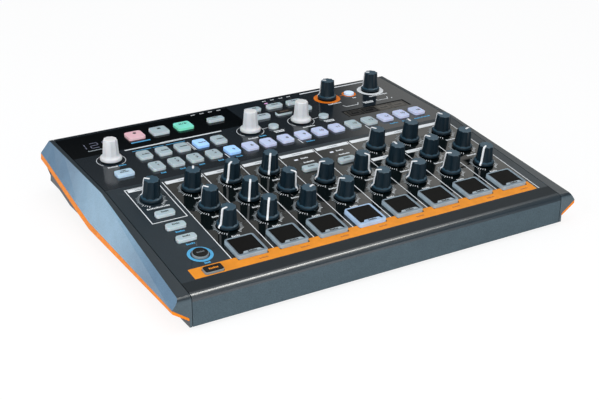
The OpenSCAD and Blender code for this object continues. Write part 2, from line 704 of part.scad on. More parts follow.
// Silicone key with a collar under the panel; size is [width, length, corner radius, height]
module key_cap(size) {
    plate(size.x, size.y, size.z, collar_bottom, size[3]);
    plate(size.x + 2, size.y + 2, size.z, collar_bottom, collar_top);
}
module round_key(r, h) {
    translate([0, 0, collar_bottom]) cylinder(r = r, h = h - collar_bottom);
    translate([0, 0, collar_bottom]) cylinder(r = r + 1, h = key_collar);
}
module keys(sites, size) {
    for (site = sites) on_panel(site) key_cap(size);
}
module record_key() {
    color([0.93, 0.78, 0.8]) keys([record_site], transport_size);
}
module stop_key() {
    color([0.73, 0.77, 0.77]) keys([stop_site], transport_size);
}
module play_key() {
    color([0.56, 0.94, 0.8]) keys([play_site], transport_size);
}
module step_keys() {
    color([0.78, 0.79, 0.86]) keys(step_sites, step_size);
}
module mode_keys() {
    color([0.73, 0.77, 0.77]) keys(mode_sites, step_size);
}
module rear_keys() {
    color([0.73, 0.77, 0.77]) {
        keys(small_sites, small_size);
        keys([sync_site], sync_size);
        keys([tap_site], tap_size);
        for (site = round_sites) on_panel(site) round_key(round_key_r, 2.2);
        on_panel(lit_key_site) round_key(lit_key_r, 1.8);
    }
}
module front_keys() {
    color([0.73, 0.77, 0.77]) {
        keys(concat(type_sites, left_sites), front_size);
        keys([colour_site], colour_size);
        on_panel(shift_site) round_key(shift_key_r, small_key_h);
    }
}

// Rear sockets, from the left as seen from the front
big_jack_x = [118, 94] * spread;
small_jack_x = [70, 54, 38, 22, 0, -16] * spread;
midi_x = [-42, -66] * spread;
usb_x = -87 * spread;
dc_x = -105 * spread;
power_x = -122 * spread;
midi_z = socket_z + 1;
big_body = [15, 14, 24];
small_neck_r = 3;
small_body = [9, 9, 13];
midi_collar_r = 7.6;
midi_bore_r = 6.65;
midi_insert_r = 5.7;
dc_collar_r = 4.6;
power_collar_r = 5.4;
usb_w = 12;
usb_l = 10.8;
tongue_w = 5.6;
tongue_l = 3.2;
power_button_r = 4.2;

// Socket body behind the rear wall, with a neck through it and a nut outside
module jack(body, neck, neck_length, bore, depth, nut) {
    difference() {
        union() {
            translate([-body.x / 2, -body.y / 2, -sheet_t - body.z]) cube(body);
            translate([0, 0, -sheet_t - eps]) cylinder(r = neck, h = sheet_t + neck_length + eps);
            cylinder(r = nut, h = 1.8, $fn = 6);
        }
        translate([0, 0, neck_length - depth]) cylinder(r = bore, h = depth + 1);
    }
}
module jack_sockets() {
    color([0.75, 0.75, 0.77]) {
        for (x = big_jack_x) on_rear_wall(x, socket_z) jack(big_body, neck_r, neck_out, big_bore_r, 30, 7);
        for (x = small_jack_x) on_rear_wall(x, socket_z)
            jack(small_body, small_neck_r, 2.8, small_bore_r, 15, 4.3);
    }
}
module midi_sockets() {
    depth = 9;
    color([0.12, 0.12, 0.13])
        for (x = midi_x) on_rear_wall(x, midi_z) {
            difference() {
                union() {
                    translate([-10, -9, -sheet_t - 11]) cube([20, 18, 11]);
                    translate([0, 0, -sheet_t - eps]) cylinder(r = midi_collar_r, h = sheet_t + 0.4 + eps);
                }
                difference() {
                    translate([0, 0, 0.4 - depth]) cylinder(r = midi_bore_r, h = depth + 1);
                    translate([0, 0, -1 - depth]) cylinder(r = midi_insert_r, h = depth);
                }
                for (a = [-90:45:90]) rotate([0, 0, a]) translate([0, 3.9, -7]) cylinder(r = 0.8, h = 8);
            }
        }
}
module power_usb_inlets() {
    color([0.15, 0.15, 0.16]) {
        on_rear_wall(usb_x, socket_z) usb_socket();
        on_rear_wall(dc_x, socket_z) difference() {
            union() {
                translate([-5.5, -5.5, -sheet_t - 13]) cube([11, 11, 13]);
                translate([0, 0, -sheet_t - eps]) cylinder(r = dc_collar_r, h = sheet_t + 0.4 + eps);
            }
            difference() {
                translate([0, 0, -9.5]) cylinder(r = 3.15, h = 12);
                translate([0, 0, -11]) cylinder(r = 1, h = 10.4);
            }
        }
        on_rear_wall(power_x, socket_z) difference() {
            union() {
                translate([-6.5, -6.5, -sheet_t - 14]) cube([13, 13, 14]);
                translate([0, 0, -sheet_t - eps]) cylinder(r = power_collar_r, h = sheet_t + 0.6 + eps);
            }
            translate([0, 0, -9.5]) cylinder(r = power_button_r + shaft_fit, h = 12);
        }
    }
}
module usb_socket() {
    wall = 1.6;
    difference() {
        box(-usb_w / 2, usb_w / 2, -usb_l / 2, usb_l / 2, -sheet_t - 12, 0.3);
        difference() {
            box(-usb_w / 2 + wall, usb_w / 2 - wall, -usb_l / 2 + wall, usb_l / 2 - wall, -9, 1);
            box(-tongue_w / 2, tongue_w / 2, -tongue_l / 2, tongue_l / 2, -10, -1);
        }
    }
    box(-usb_w / 2 - 1, usb_w / 2 + 1, -usb_l / 2 - 1, -usb_l / 2, -sheet_t - 12, -sheet_t);
    box(-usb_w / 2 - 1, usb_w / 2 + 1, usb_l / 2, usb_l / 2 + 1, -sheet_t - 12, -sheet_t);
}
module power_button() {
    out = 2.6;
    color([0.8, 0.8, 0.82])
        on_rear_wall(power_x, socket_z)
            translate([0, 0, -9.5 + power_travel + 0.3])
                cylinder(r = power_button_r, h = 9.5 - power_travel - 0.3 + out);
}

module rubber_feet() {
    color([0.07, 0.07, 0.07])
        for (site = foot_sites) translate([site.x, site.y, 0]) difference() {
            cylinder(r = foot_r, h = foot_h);
            translate([0, 0, -1]) cylinder(r = 3.3, h = 2);
            translate([0, 0, -1]) cylinder(r = screw_r + 0.15, h = foot_h + 2);
        }
}
module screws() {
    color([0.5, 0.5, 0.52]) {
        both_sides() cheek_screws(screw_r, 2.8);
        rear_screws(screw_r, 2.7);
        for (site = foot_sites) translate([site.x, site.y, 0.2]) {
            cylinder(r = 3, h = 0.8);
            cylinder(r = screw_r, h = foot_h + tray_t + 3);
        }
    }
}

module kick_pitch_knob() { pot_knob(voice_site(0, 0), 20); }
module kick_decay_knob() { pot_knob(voice_site(0, 1), -6); }
module kick_level_knob() { pot_knob(voice_site(0, 2), -93); }
module snare1_snap_knob() { pot_knob(voice_site(1, 0), -126); }
module snare1_decay_knob() { pot_knob(voice_site(1, 1), -145); }
module snare1_level_knob() { pot_knob(voice_site(1, 2), -144); }
module snare2_tone_knob() { pot_knob(voice_site(2, 0), -145); }
module snare2_decay_knob() { pot_knob(voice_site(2, 1), 115); }
module snare2_level_knob() { pot_knob(voice_site(2, 2), 46); }
module tom_pitch_knob() { pot_knob(voice_site(3, 1), -57); }
module tom_level_knob() { pot_knob(voice_site(3, 2), -16); }
module cymbal_decay_knob() { pot_knob(voice_site(4, 1), 125); }
module cymbal_level_knob() { pot_knob(voice_site(4, 2), -27); }
module fm_carrier_knob() { pot_knob(voice_site(5, 0), 8); }
module closed_hat_tone_knob() { pot_knob(voice_site(5, 1), 22); }
module closed_hat_level_knob() { pot_knob(voice_site(5, 2), -32); }
module fm_decay_knob() { pot_knob(voice_site(6, 0), 22); }
module open_hat_decay_knob() { pot_knob(voice_site(6, 1), 11); }
module open_hat_level_knob() { pot_knob(voice_site(6, 2), -17); }
module fm_amount_knob() { pot_knob(voice_site(7, 0), 11); }
module fm_pitch_knob() { pot_knob(voice_site(7, 1), 49); }
module fm_level_knob() { pot_knob(voice_site(7, 2), -127); }
module metronome_knob() { pot_knob(metronome_site, -60); }
module drive_knob() { pot_knob(drive_site, -40, output_knob_h); }
module volume_knob() { pot_knob(volume_site, -30, output_knob_h); }
module tempo_encoder() { encoder(tempo_site); }
module swing_encoder() { encoder(swing_site); }
module random_encoder() { encoder(random_site); }
module kick_pad() { pad(0); }
module snare1_pad() { pad(1); }
module snare2_pad() { pad(2); }
module tom_pad() { pad(3); }
module cymbal_pad() { pad(4); }
module closed_hat_pad() { pad(5); }
module open_hat_pad() { pad(6); }
module fm_pad() { pad(7); }

top_panel();
rear_panel();
bottom_tray();
left_cheek();
right_cheek();
side_trims();
display_window();
touch_strip();
led_lenses();
control_boards();
rotary_bodies();
jack_sockets();
midi_sockets();
power_usb_inlets();
rubber_feet();
screws();
kick_pitch_knob();
kick_decay_knob();
kick_level_knob();
snare1_snap_knob();
snare1_decay_knob();
snare1_level_knob();
snare2_tone_knob();
snare2_decay_knob();
snare2_level_knob();
tom_pitch_knob();
tom_level_knob();
cymbal_decay_knob();
cymbal_level_knob();
fm_carrier_knob();
closed_hat_tone_knob();
closed_hat_level_knob();
fm_decay_knob();
open_hat_decay_knob();
open_hat_level_knob();
fm_amount_knob();
fm_pitch_knob();
fm_level_knob();
metronome_knob();
drive_knob();
volume_knob();
tempo_encoder();
swing_encoder();
random_encoder();
kick_pad();
snare1_pad();
snare2_pad();
tom_pad();
cymbal_pad();
closed_hat_pad();
open_hat_pad();
fm_pad();
record_key();
stop_key();
play_key();
step_keys();
mode_keys();
rear_keys();
front_keys();
power_button();
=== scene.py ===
# %% [markdown]
# # Finishing a desktop drum machine
# The CAD frame gives each part its place and size. This lesson adds fluted caps, soft keys, print,
# paint and light. A frame part is never moved or changed. Where a rounder piece is wanted, it replaces
# the CAD part and rides on the same body, so that it turns or presses with it.

# %% Load the frame
from math import cos, pi, radians, sin

import bpy
from mathutils import Matrix, Vector


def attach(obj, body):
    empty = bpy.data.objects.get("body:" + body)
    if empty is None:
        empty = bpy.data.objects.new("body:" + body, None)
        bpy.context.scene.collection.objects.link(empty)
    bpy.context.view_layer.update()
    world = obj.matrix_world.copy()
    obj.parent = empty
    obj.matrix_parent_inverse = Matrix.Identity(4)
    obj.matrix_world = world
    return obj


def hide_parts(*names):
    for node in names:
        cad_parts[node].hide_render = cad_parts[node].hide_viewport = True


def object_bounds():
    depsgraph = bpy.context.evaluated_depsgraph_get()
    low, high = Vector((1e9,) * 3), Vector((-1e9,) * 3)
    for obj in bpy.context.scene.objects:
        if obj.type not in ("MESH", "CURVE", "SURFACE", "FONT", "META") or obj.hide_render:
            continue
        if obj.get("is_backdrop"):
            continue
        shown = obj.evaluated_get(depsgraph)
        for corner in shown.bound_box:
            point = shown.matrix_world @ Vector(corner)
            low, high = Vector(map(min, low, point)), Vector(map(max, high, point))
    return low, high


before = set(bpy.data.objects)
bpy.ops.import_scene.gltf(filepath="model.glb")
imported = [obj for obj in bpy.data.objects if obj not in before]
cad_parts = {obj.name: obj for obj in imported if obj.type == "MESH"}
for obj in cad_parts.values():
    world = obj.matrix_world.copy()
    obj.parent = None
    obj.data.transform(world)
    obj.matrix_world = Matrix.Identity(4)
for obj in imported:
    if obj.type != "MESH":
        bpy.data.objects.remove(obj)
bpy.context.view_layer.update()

# %% [markdown]
# ## The camera
# A product shot looks down on the panel from the front left. The camera stands 0.9 m away and its
# lens is long, so that the far corner doesn't shrink much.

# %% Camera
def add_object(name, data):
    """A new object in the scene that shows the data."""
    made = bpy.data.objects.new(name, data)
    bpy.context.scene.collection.objects.link(made)
    print("made", name)
    return made


camera = add_object("camera", bpy.data.cameras.new("camera"))
camera.location = (-0.40621, -0.68383, 0.37124)
camera.rotation_euler = [radians(angle) for angle in (65.242, -0.347, -30.672)]
camera.data.sensor_width = 36
camera.data.lens = 71.44
camera.data.clip_start = 0.01
bpy.context.scene.camera = camera
print("camera stands", round(camera.location.length, 3), "m from the origin")

# %% [markdown]
# ## Shader sums in plain Python
# Here one class wraps an output socket, so that `1 - mask * 0.4` adds the Math nodes by itself, and a
# second class makes any other node in one call. Python calls a method such as `__add__` for each
# sign, so a loop makes them.

# %% Sockets that can be used in sums
class Wire:
    """An output socket that can be written in Python sums."""

    def __init__(self, nodes, socket):
        self.nodes = nodes
        self.socket = socket

    def also(self, name):
        """Another output of the same node."""
        return Wire(self.nodes, self.socket.node.outputs[name])


def arithmetic(operation, swapped=False):
    """The method behind one sign of a sum: it adds a Math node."""
    def method(wire, other):
        pair = (other, wire) if swapped else (wire, other)
        return wire.nodes.math(operation, *pair)
    return method


for name, operation in (("add", "ADD"), ("sub", "SUBTRACT"), ("mul", "MULTIPLY"), ("truediv", "DIVIDE")):
    setattr(Wire, f"__{name}__", arithmetic(operation))
    setattr(Wire, f"__r{name}__", arithmetic(operation, swapped=True))
for name, operation in (("pow", "POWER"), ("gt", "GREATER_THAN"), ("lt", "LESS_THAN")):
    setattr(Wire, f"__{name}__", arithmetic(operation))

# %% [markdown]
# Colours are written as web colours and turned into the linear values that the renderer adds up.

# %% Colours and nodes
def colour(web):
    """Linear RGBA of a web colour such as '3a4048'."""
    parts = [int(web[i:i + 2], 16) / 255 for i in (0, 2, 4)]
    return tuple(c / 12.92 if c <= 0.04045 else ((c + 0.055) / 1.055) ** 2.4 for c in parts) + (1,)


class Nodes:
    """Makes nodes in one node tree."""

    def __init__(self, tree):
        self.tree = tree

    def node(self, kind, settings=None, sockets=None, out=0):
        """Adds a shader node: its settings first, then a value or a Wire for each named socket."""
        made = self.tree.nodes.new("ShaderNode" + kind)
        for name, value in (settings or {}).items():
            setattr(made, name, value)
        for name, value in (sockets or {}).items():
            self.join(value, made.inputs[name])
        return Wire(self, made.outputs[out]) if made.outputs else made

    def math(self, operation, *values):
        return self.node("Math", {"operation": operation}, dict(enumerate(values)))

    def join(self, value, socket):
        if isinstance(value, Wire):
            self.tree.links.new(value.socket, socket)
        else:
            socket.default_value = value

    def blend(self, amount, first, second, mode="MIX"):
        """Mixes two colours: first where amount is 0, second where it is 1."""
        settings = {"data_type": "RGBA", "blend_type": mode, "clamp_factor": True}
        return self.node("Mix", settings, {0: amount, 6: first, 7: second}, out=2)

    def spread(self, value, low, high, to_low=0, to_high=1):
        """Maps a value from low..high to to_low..to_high, eased and held at both ends."""
        return self.node("MapRange", {"interpolation_type": "SMOOTHSTEP"},
                         {0: value, 1: low, 2: high, 3: to_low, 4: to_high})


# %% [markdown]
# A finish is a material with one Principled shader. Its place wire is the point on the piece in
# millimetres, so that a grain or a printed zone has its real size.

# %% Finishes
class Finish(Nodes):
    """A material: constants go straight to the Principled shader's sockets."""

    def __init__(self, name, base="808080", **constants):
        self.material = bpy.data.materials.new(name)
        self.material.use_nodes = True
        super().__init__(self.material.node_tree)
        self.shader = self.tree.nodes["Principled BSDF"]
        self.set("Base Color", colour(base) if isinstance(base, str) else base)
        for word, value in constants.items():
            self.set(word.replace("_", " ").title().replace("Ior", "IOR"), value)
        print("finish", name)

    def set(self, socket, value):
        self.join(value, self.shader.inputs[socket])

    def place(self):
        """Point on the piece, in millimetres, in the piece's own frame."""
        metres = self.node("TexCoord", out="Object")
        return self.node("VectorMath", {"operation": "SCALE"}, {0: metres, "Scale": 1000})

    def axes(self, point=None):
        """The three numbers of a point, or of the place."""
        first = self.node("SeparateXYZ", None, {0: point or self.place()})
        return first, first.also("Y"), first.also("Z")

    def facing(self):
        """The three numbers of the way the surface looks."""
        return self.axes(self.node("NewGeometry", out="Normal"))

    def grain(self, size, detail=2.0):
        """Noise from 0 to 1 whose lumps are about size millimetres across."""
        return self.node("TexNoise", None,
                         {"Vector": self.place(), "Scale": 1 / size, "Detail": detail})

    def emboss(self, height, depth, strength):
        """Sets a bump of so many millimetres on the shader."""
        self.set("Normal", self.node("Bump", None,
                                     {"Height": height, "Distance": depth / 1000, "Strength": strength}))

    def cover(self, amount, other):
        """Shows another shader in place of the first where amount is 1."""
        mixed = self.node("MixShader", None, {0: amount, 1: Wire(self, self.shader.outputs[0]), 2: other})
        self.join(mixed, self.tree.nodes["Material Output"].inputs["Surface"])


# %% [markdown]
# ## The studio
# The floor is paper white for the camera and in reflections, where a share of it glows. The rest
# takes real light, so that the machine keeps its soft shadow and doesn't float.

# %% Floor
FLOOR_REACH, MIRRORED_WHITE, PAPER_GLOW = 8, 0.8, 1.06
corners = [(x * FLOOR_REACH, y * FLOOR_REACH, 0) for x, y in ((-1, -1), (1, -1), (1, 1), (-1, 1))]
mesh = bpy.data.meshes.new("studio_floor")
mesh.from_pydata(corners, [], [(0, 1, 2, 3)])
floor = add_object("studio_floor", mesh)
floor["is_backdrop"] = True
paper = Finish("studio_paper", "f2f2f2", roughness=1.0, specular_ior_level=0.0)
seen = paper.node("LightPath", out="Is Camera Ray")
white_share = (seen + seen.also("Is Glossy Ray") + seen.also("Is Transmission Ray")) * MIRRORED_WHITE
glow = paper.node("Emission", None, {"Color": (1, 1, 1, 1), "Strength": PAPER_GLOW})
paper.cover(white_share, glow)
floor.data.materials.append(paper.material)

# %% [markdown]
# The space around is white for the camera and gives even light from every side. A glossy panel
# mirrors a studio instead: a wall that gets brighter upwards, a screen behind on the right, and a dark
# ceiling. So a black panel looks deep at one end and grey at the other.

# %% World light
FILL, FILL_TINT = 0.55, (0.97, 0.99, 1.03)
WALL_GLOW, SCREEN_GLOW = (0.012, 0.57), (0.0, 0.72)
SCREEN_EDGE, SCREEN_LEAN = (0.555, 0.585), 0.28
GREEN_SHARE, BLUE_SHARE = 0.99, 0.95
world = bpy.data.worlds.new("studio")
bpy.context.scene.world = world
world.use_nodes = True
space = Nodes(world.node_tree)
toward = space.node("TexCoord", out="Generated")
east = space.node("SeparateXYZ", None, {0: toward})
north = east.also("Y")
height = east.also("Z")
across = east / (east * east + north * north + 0.0001) ** 0.5
wall = space.spread(height, 0.39, 0.60, *WALL_GLOW)
behind = space.spread(north, 0.0, 0.2) * space.spread(height, 0.18, 0.32)
screen = space.spread(across - (height - 0.42) * SCREEN_LEAN, *SCREEN_EDGE, *SCREEN_GLOW) * behind
bright = (wall + screen) * (1 - space.spread(height, 0.68, 0.76, 0.0, 0.97))
mirrored = space.node("CombineColor", None,
                      {0: bright, 1: bright * GREEN_SHARE, 2: bright * BLUE_SHARE})
ray = space.node("LightPath", out="Is Camera Ray")
sharp = ray.also("Is Glossy Ray")
around = space.blend(sharp, tuple(FILL * share for share in FILL_TINT) + (1,), mirrored)
backdrop = space.blend(ray, around, (1, 1, 1, 1))
space.join(backdrop, world.node_tree.nodes["Background"].inputs["Color"])

# %% [markdown]
# Three softboxes shape the body: one overhead, one that rakes along the left cheek, and a low one in
# front. Strips overhead show only in reflections. Four draw a bright line along the rounded front
# edge, which fades to the right, and two dim ones stand further to the front.

# %% Softboxes
def softbox(name, at, aim, size, radiance, tint=(1, 1, 1)):
    """A lamp of size (width, length) metres whose face has the given radiance."""
    lamp = bpy.data.lights.new(name, "AREA")
    lamp.shape = "RECTANGLE"
    lamp.size, lamp.size_y = size
    lamp.energy = radiance * pi * size[0] * size[1]
    lamp.color = tint
    holder = add_object(name, lamp)
    holder.location = at
    holder.rotation_euler = (Vector(aim) - Vector(at)).to_track_quat("-Z", "Y").to_euler()
    return holder


softbox("overhead_softbox", (-0.15, -0.25, 1.25), (0, 0, 0), (0.9, 0.9), 1.15)
softbox("left_softbox", (-1.1, -0.25, 0.55), (-0.1, 0, 0.03), (0.8, 0.7), 2.3, (0.93, 0.97, 1.0))
softbox("front_softbox", (-0.35, -1.3, 0.45), (0, 0, 0.03), (1.4, 0.7), 2.5)
STRIPS = ((0.28, 0.06, 0.20, 0.40, 13.0), (0.48, 0.16, 0.20, 0.36, 13.0), (0.66, 0.20, 0.16, 0.32, 9.0),
          (0.82, 0.20, 0.16, 0.32, 4.5), (0.24, -0.32, 0.36, 0.44, 2.6), (0.50, -0.22, 0.24, 0.44, 1.2))
STRIP_TINT, FRONT_EDGE = (1.0, 0.98, 0.93), -0.12
for number, (x, y, width, length, radiance) in enumerate(STRIPS):
    strip = softbox(f"edge_strip_{number}", (x, y, 1.0), (x, FRONT_EDGE, 0.0), (width, length), radiance,
                    STRIP_TINT)
    strip.visible_diffuse = False

# %% [markdown]
# ## Where things sit
# The panel is one sheet bent along a line. A place on it is x across and s from the bend, in
# millimetres, with s negative towards the front. The two planes have their own tilt, so one function
# turns x and s into a matrix that stands on the sheet.

# %% Places on the panel
MM = 0.001
BEND_Y, BEND_Z = 9.206, 40.030
FRONT_TILT, REAR_TILT = radians(7.31), radians(1.77)
BEND = Matrix.Translation((0, BEND_Y * MM, BEND_Z * MM))
FRONT = BEND @ Matrix.Rotation(FRONT_TILT, 4, "X")
REAR = BEND @ Matrix.Rotation(REAR_TILT, 4, "X")


def seat(x, s, turn=0):
    """Matrix of a place on the panel, turned clockwise by so many degrees."""
    turned = Matrix.Rotation(-radians(turn), 4, "Z")
    return (REAR if s >= 0 else FRONT) @ Matrix.Translation((x * MM, s * MM, 0)) @ turned


def y_at(s):
    """Distance back of a line on the panel, in millimetres."""
    return BEND_Y + s * cos(REAR_TILT if s >= 0 else FRONT_TILT)


VOICE_X, VOICE_PITCH = -89.5, 30.22
ROW_S = [-19.5, -45.65, -71.8]
LEFT_X = -120.6
PAD_SHIFT, PAD_S = -1.0, -98.8
STEP_X, STEP_PITCH, STEP_S, MODE_S = -97.7, 14.97, 20.4, 41.7
TRANSPORT_S = 77.6
FIELD_LEFT, FIELD_RIGHT, FIELD_REAR, STRIP_FRONT = -104.7, 136.9, -3.4, -117.0
voice_x = [VOICE_X + i * VOICE_PITCH for i in range(8)]
step_x = [STEP_X + i * STEP_PITCH for i in range(16)]
print("voice columns at", [round(x, 1) for x in voice_x])

# %% [markdown]
# ## Building solids in code
# Most pieces are stacks of outlines: each ring of points is joined to the next. One class collects
# such shells and makes one object of them. It closes each shell with both its end faces, or joins the
# last ring to the first.

# %% A collector of closed shells
EDGE_ANGLE = radians(35)


class Solids:
    """Collects closed shells in millimetres; make() turns them into one object."""

    def __init__(self, name, place=None):
        self.name = name
        self.place = place or Matrix.Identity(4)
        self.points, self.faces, self.parts = [], [], []

    def shell(self, rings, part=0, at=None, loop=False):
        """Joins rings of as many points each. at moves them; loop joins the last to the first."""
        start, n, count = len(self.points), len(rings[0]), len(rings)
        for ring in rings:
            spots = [Vector(point) * MM for point in ring]
            self.points += [at @ spot for spot in spots] if at else spots
        for k in range(count if loop else count - 1):
            a, b = start + k * n, start + (k + 1) % count * n
            self.faces += [(a + i, a + (i + 1) % n, b + (i + 1) % n, b + i) for i in range(n)]
        if not loop:
            self.faces.append(tuple(range(start + n - 1, start - 1, -1)))
            self.faces.append(tuple(range(start + (count - 1) * n, start + count * n)))
        self.parts += [part] * (len(self.faces) - len(self.parts))

    def make(self, finishes, slot, node=None):
        """Makes the object. It stands for the CAD node and rides on its body, or else on the case."""
        mesh = bpy.data.meshes.new(self.name)
        mesh.from_pydata(self.points, [], self.faces)
        mesh.polygons.foreach_set("material_index", self.parts)
        mesh.polygons.foreach_set("use_smooth", [True] * len(self.faces))
        mesh.set_sharp_from_angle(angle=EDGE_ANGLE)
        for finish in finishes:
            mesh.materials.append(finish.material)
        mesh.validate()
        piece = add_object(self.name, mesh)
        piece.matrix_world = self.place
        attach(piece, node + "_body" if node else "case")
        if node:
            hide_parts(node)


# %% [markdown]
# Outlines are a rectangle with round corners for keys and pads, and a circle that can be fluted for
# the caps. Each runs anticlockwise seen from above, so that shells face outwards.

# %% Outlines
RIDGES = 9


def rounded(w, l, r, steps=6):
    """Rectangle w by l with corners of radius r, as points in the plane."""
    corners = ((1, 1, 0), (-1, 1, 90), (-1, -1, 180), (1, -1, 270))
    turns = [(cx, cy, radians(start + i * 90 / steps))
             for cx, cy, start in corners for i in range(steps + 1)]
    return [(cx * (w / 2 - r) + r * cos(a), cy * (l / 2 - r) + r * sin(a)) for cx, cy, a in turns]


def circle(r, n=48, flute=0.0):
    """Circle of n points with broad flutes between narrow ridges; a ridge points to the rear."""
    turns = [i * 2 * pi / n for i in range(n)]
    reach = [r - flute * abs(sin(RIDGES * (a - pi / 2) / 2)) ** 0.9 for a in turns]
    return [(far * cos(a), far * sin(a)) for far, a in zip(reach, turns)]


def moved(outline, x, y):
    """A flat outline moved sideways."""
    return [(px + x, py + y) for px, py in outline]


def lift(outline, z):
    """Puts a flat outline at height z."""
    return [(x, y, z) for x, y in outline]


def soft_top(outline_at, bottom, top, edge, crown=0.04):
    """Rings of a cap whose rim is rounded; outline_at(inset) gives the outline moved inwards."""
    rings = [lift(outline_at(0), bottom)]
    for degrees in (0, 18, 36, 54, 72, 90):
        a = radians(degrees)
        rings.append(lift(outline_at(edge * (1 - cos(a))), top - edge * (1 - sin(a))))
    for share, rise in ((1.8, 0.6), (2.6, 1)):
        rings.append(lift(outline_at(edge * share), top + crown * rise))
    return rings


# %% [markdown]
# Printed lines and rings are ribbons: a line of points with a width. At each corner the edges meet
# on the mitre, which is limited so that a sharp turn stays neat.

# %% Ribbons
MITRE_LIMIT = 0.5


def ribbon(line, width, z0, z1, closed=False):
    """Rings across a line of constant width, each a small upright rectangle."""
    line = [Vector(p) for p in line]
    ends = [line[-1], line[0]] if closed else [2 * line[0] - line[1], 2 * line[-1] - line[-2]]
    rings = []
    for before, p, after in zip([ends[0]] + line, line, line[1:] + [ends[1]]):
        a, b = (p - before).normalized(), (after - p).normalized()
        side = Vector((-a.y - b.y, a.x + b.x)) * width / 2 / max(MITRE_LIMIT, 1 + a.dot(b))
        left, right = p + side, p - side
        rings.append([(*right, z0), (*left, z0), (*left, z1), (*right, z1)])
    return rings


def arc(r, start, end, steps):
    """Points round a circle, in degrees clockwise from the rear."""
    angles = [radians(start + (end - start) * i / steps) for i in range(steps + 1)]
    return [(r * sin(a), r * cos(a)) for a in angles]


# %% [markdown]
# ## Paint on the folded sheet
# The sheet is powder coated: a matt slate with a fine speckle, because the powder melts into tiny
# lumps. The fields round the controls are printed in black and lacquered, so they mirror the knobs.
# One finish does both, and masks in millimetres say where the lacquer lies.

# %% Powder coat
def speckled(finish, web, amount=0.10, size=0.55):
    """A base colour with the fine light and dark speckle of melted powder."""
    fine = finish.grain(size, 1.0)
    broad = finish.grain(9.0, 2.0)
    shade = finish.spread(fine, 0.3, 0.7, 1 - amount, 1 + amount) * finish.spread(broad, 0.3, 0.7, 0.96, 1.04)
    tone = finish.node("CombineColor", None, {0: shade, 1: shade, 2: shade})
    base = colour(web) if isinstance(web, str) else web
    return finish.blend(1.0, base, tone, "MULTIPLY"), fine


SLATE, FACE_SLATE, BLACK_PRINT, REAR_PRINT = "1f2d36", "4a5a62", "070f10", "151f27"
NOSE_Y, NOSE_Z = -118.5, 20.1
panel = Finish("panel_powder_coat", coat_roughness=0.25, coat_ior=1.8, specular_ior_level=0.25)
x, y, z = panel.axes()
voice_field = (x > FIELD_LEFT) * (x < FIELD_RIGHT) * (y > y_at(STRIP_FRONT)) * (y < y_at(FIELD_REAR))
rear_field = y > y_at(1.0)
black_print = panel.math("MAXIMUM", voice_field, rear_field)
nose = panel.spread(y, NOSE_Y + 1.4, NOSE_Y + 0.1)
# Painted shade: the margin in front of the orange strip is painted darker, and it is rougher as well.
shaded_margin = panel.spread(y, y_at(STRIP_FRONT), y_at(STRIP_FRONT) - 1.0) * (1 - nose)
# The front face gets a lighter slate than the top: partly its own paint, partly a painted light for the lamp
# in front.
face = panel.spread(z, NOSE_Z, NOSE_Z - 1.2)
slate, lumps = speckled(panel, SLATE, 0.14)
face_slate, _ = speckled(panel, FACE_SLATE, 0.22)
front_slate = panel.blend(shaded_margin * 0.45, slate, (0, 0, 0, 1))
panel.set("Base Color", panel.blend(face, front_slate, face_slate))
panel.set("Roughness", 0.42 + (lumps - 0.5) * 0.08 + (nose + shaded_margin) * 0.35)
panel.set("Coat Weight", (nose - face) * panel.spread(x, -45, 150, 0.95, 0.15))
panel.emboss(lumps * (1 - nose + face), 0.03, 0.5)
printed = panel.blend(rear_field, colour(BLACK_PRINT), colour(REAR_PRINT))
lacquer_rough = panel.math("ADD", 0.05, rear_field * 0.09)
lacquer = panel.node("BsdfPrincipled", None, {"Base Color": printed, "Roughness": lacquer_rough})
panel.cover(black_print, lacquer)

tray_coat = Finish("tray_powder_coat", coat_weight=0.1, specular_ior_level=0.35, roughness=0.5)
tone, lumps = speckled(tray_coat, SLATE)
tray_coat.set("Base Color", tone)
tray_coat.emboss(lumps, 0.03, 0.5)

# %% [markdown]
# The end cheeks have a wide bevel in a lighter steel blue than their narrow top, partly their paint and
# partly a painted sheen of the light that rakes along them; it is lightest along the middle, a painted
# highlight. So their colour follows the way the surface faces: the Geometry node's Normal says how far
# it looks sideways.

# %% End cheeks
cheek = Finish("cheek_powder_coat", roughness=0.42, specular_ior_level=0.3, coat_weight=0.25,
               coat_roughness=0.3)
side, back, up = cheek.facing()
outward = cheek.math("ABSOLUTE", side)
y = cheek.axes()[1]
bevel = cheek.spread(outward, 0.5, 0.75) * cheek.spread(up, 0.0, 0.12)
slate, lumps = speckled(cheek, SLATE)
# Painted highlight: the bevel is lightest along its middle.
along = cheek.spread(y, -95, -15) * (1 - cheek.spread(y, 10, 75))
steel_and_sheen_tone = cheek.blend(along, colour("67839b"), colour("8dadc3"))
steel, _ = speckled(cheek, steel_and_sheen_tone, 0.11)
face_slate, _ = speckled(cheek, FACE_SLATE, 0.22)
# The front faces get the lighter slate: partly their own paint, partly a painted light for the lamp in front.
front = cheek.spread(back, -0.8, -0.97)
cheek.set("Base Color", cheek.blend(bevel, cheek.blend(front, slate, face_slate), steel))
cheek.emboss(lumps, 0.03, 0.5)

# %% [markdown]
# Rubber, plastic and metal each have their own grain. A cap or a key may also have one tone on top
# and another round its sides: painted light and shade for how the lamps light the two.

# %% Plain finishes with grain
def moulded(name, web, rough=0.45, grain=0.35, depth=0.02, vary=0.05, side=None, flat=0.7, spec=0.5,
            **constants):
    """Moulded plastic or rubber with a fine grain. side is a tone painted on faces less level than flat, as
    painted light and shade.
    """
    finish = Finish(name, web, roughness=rough, specular_ior_level=spec, **constants)
    fine = finish.grain(grain, 2.0)
    skin = web
    # Painted light and shade: faces less level than flat take the side tone.
    if side:
        level = finish.spread(finish.facing()[2], flat, 0.97)
        skin = finish.blend(level, colour(side), colour(web))
    tone, _ = speckled(finish, skin, vary, 4.0)
    finish.set("Base Color", tone)
    finish.set("Roughness", rough + (finish.grain(3.0) - 0.5) * 0.12)
    finish.emboss(fine, depth, 0.6)
    return finish


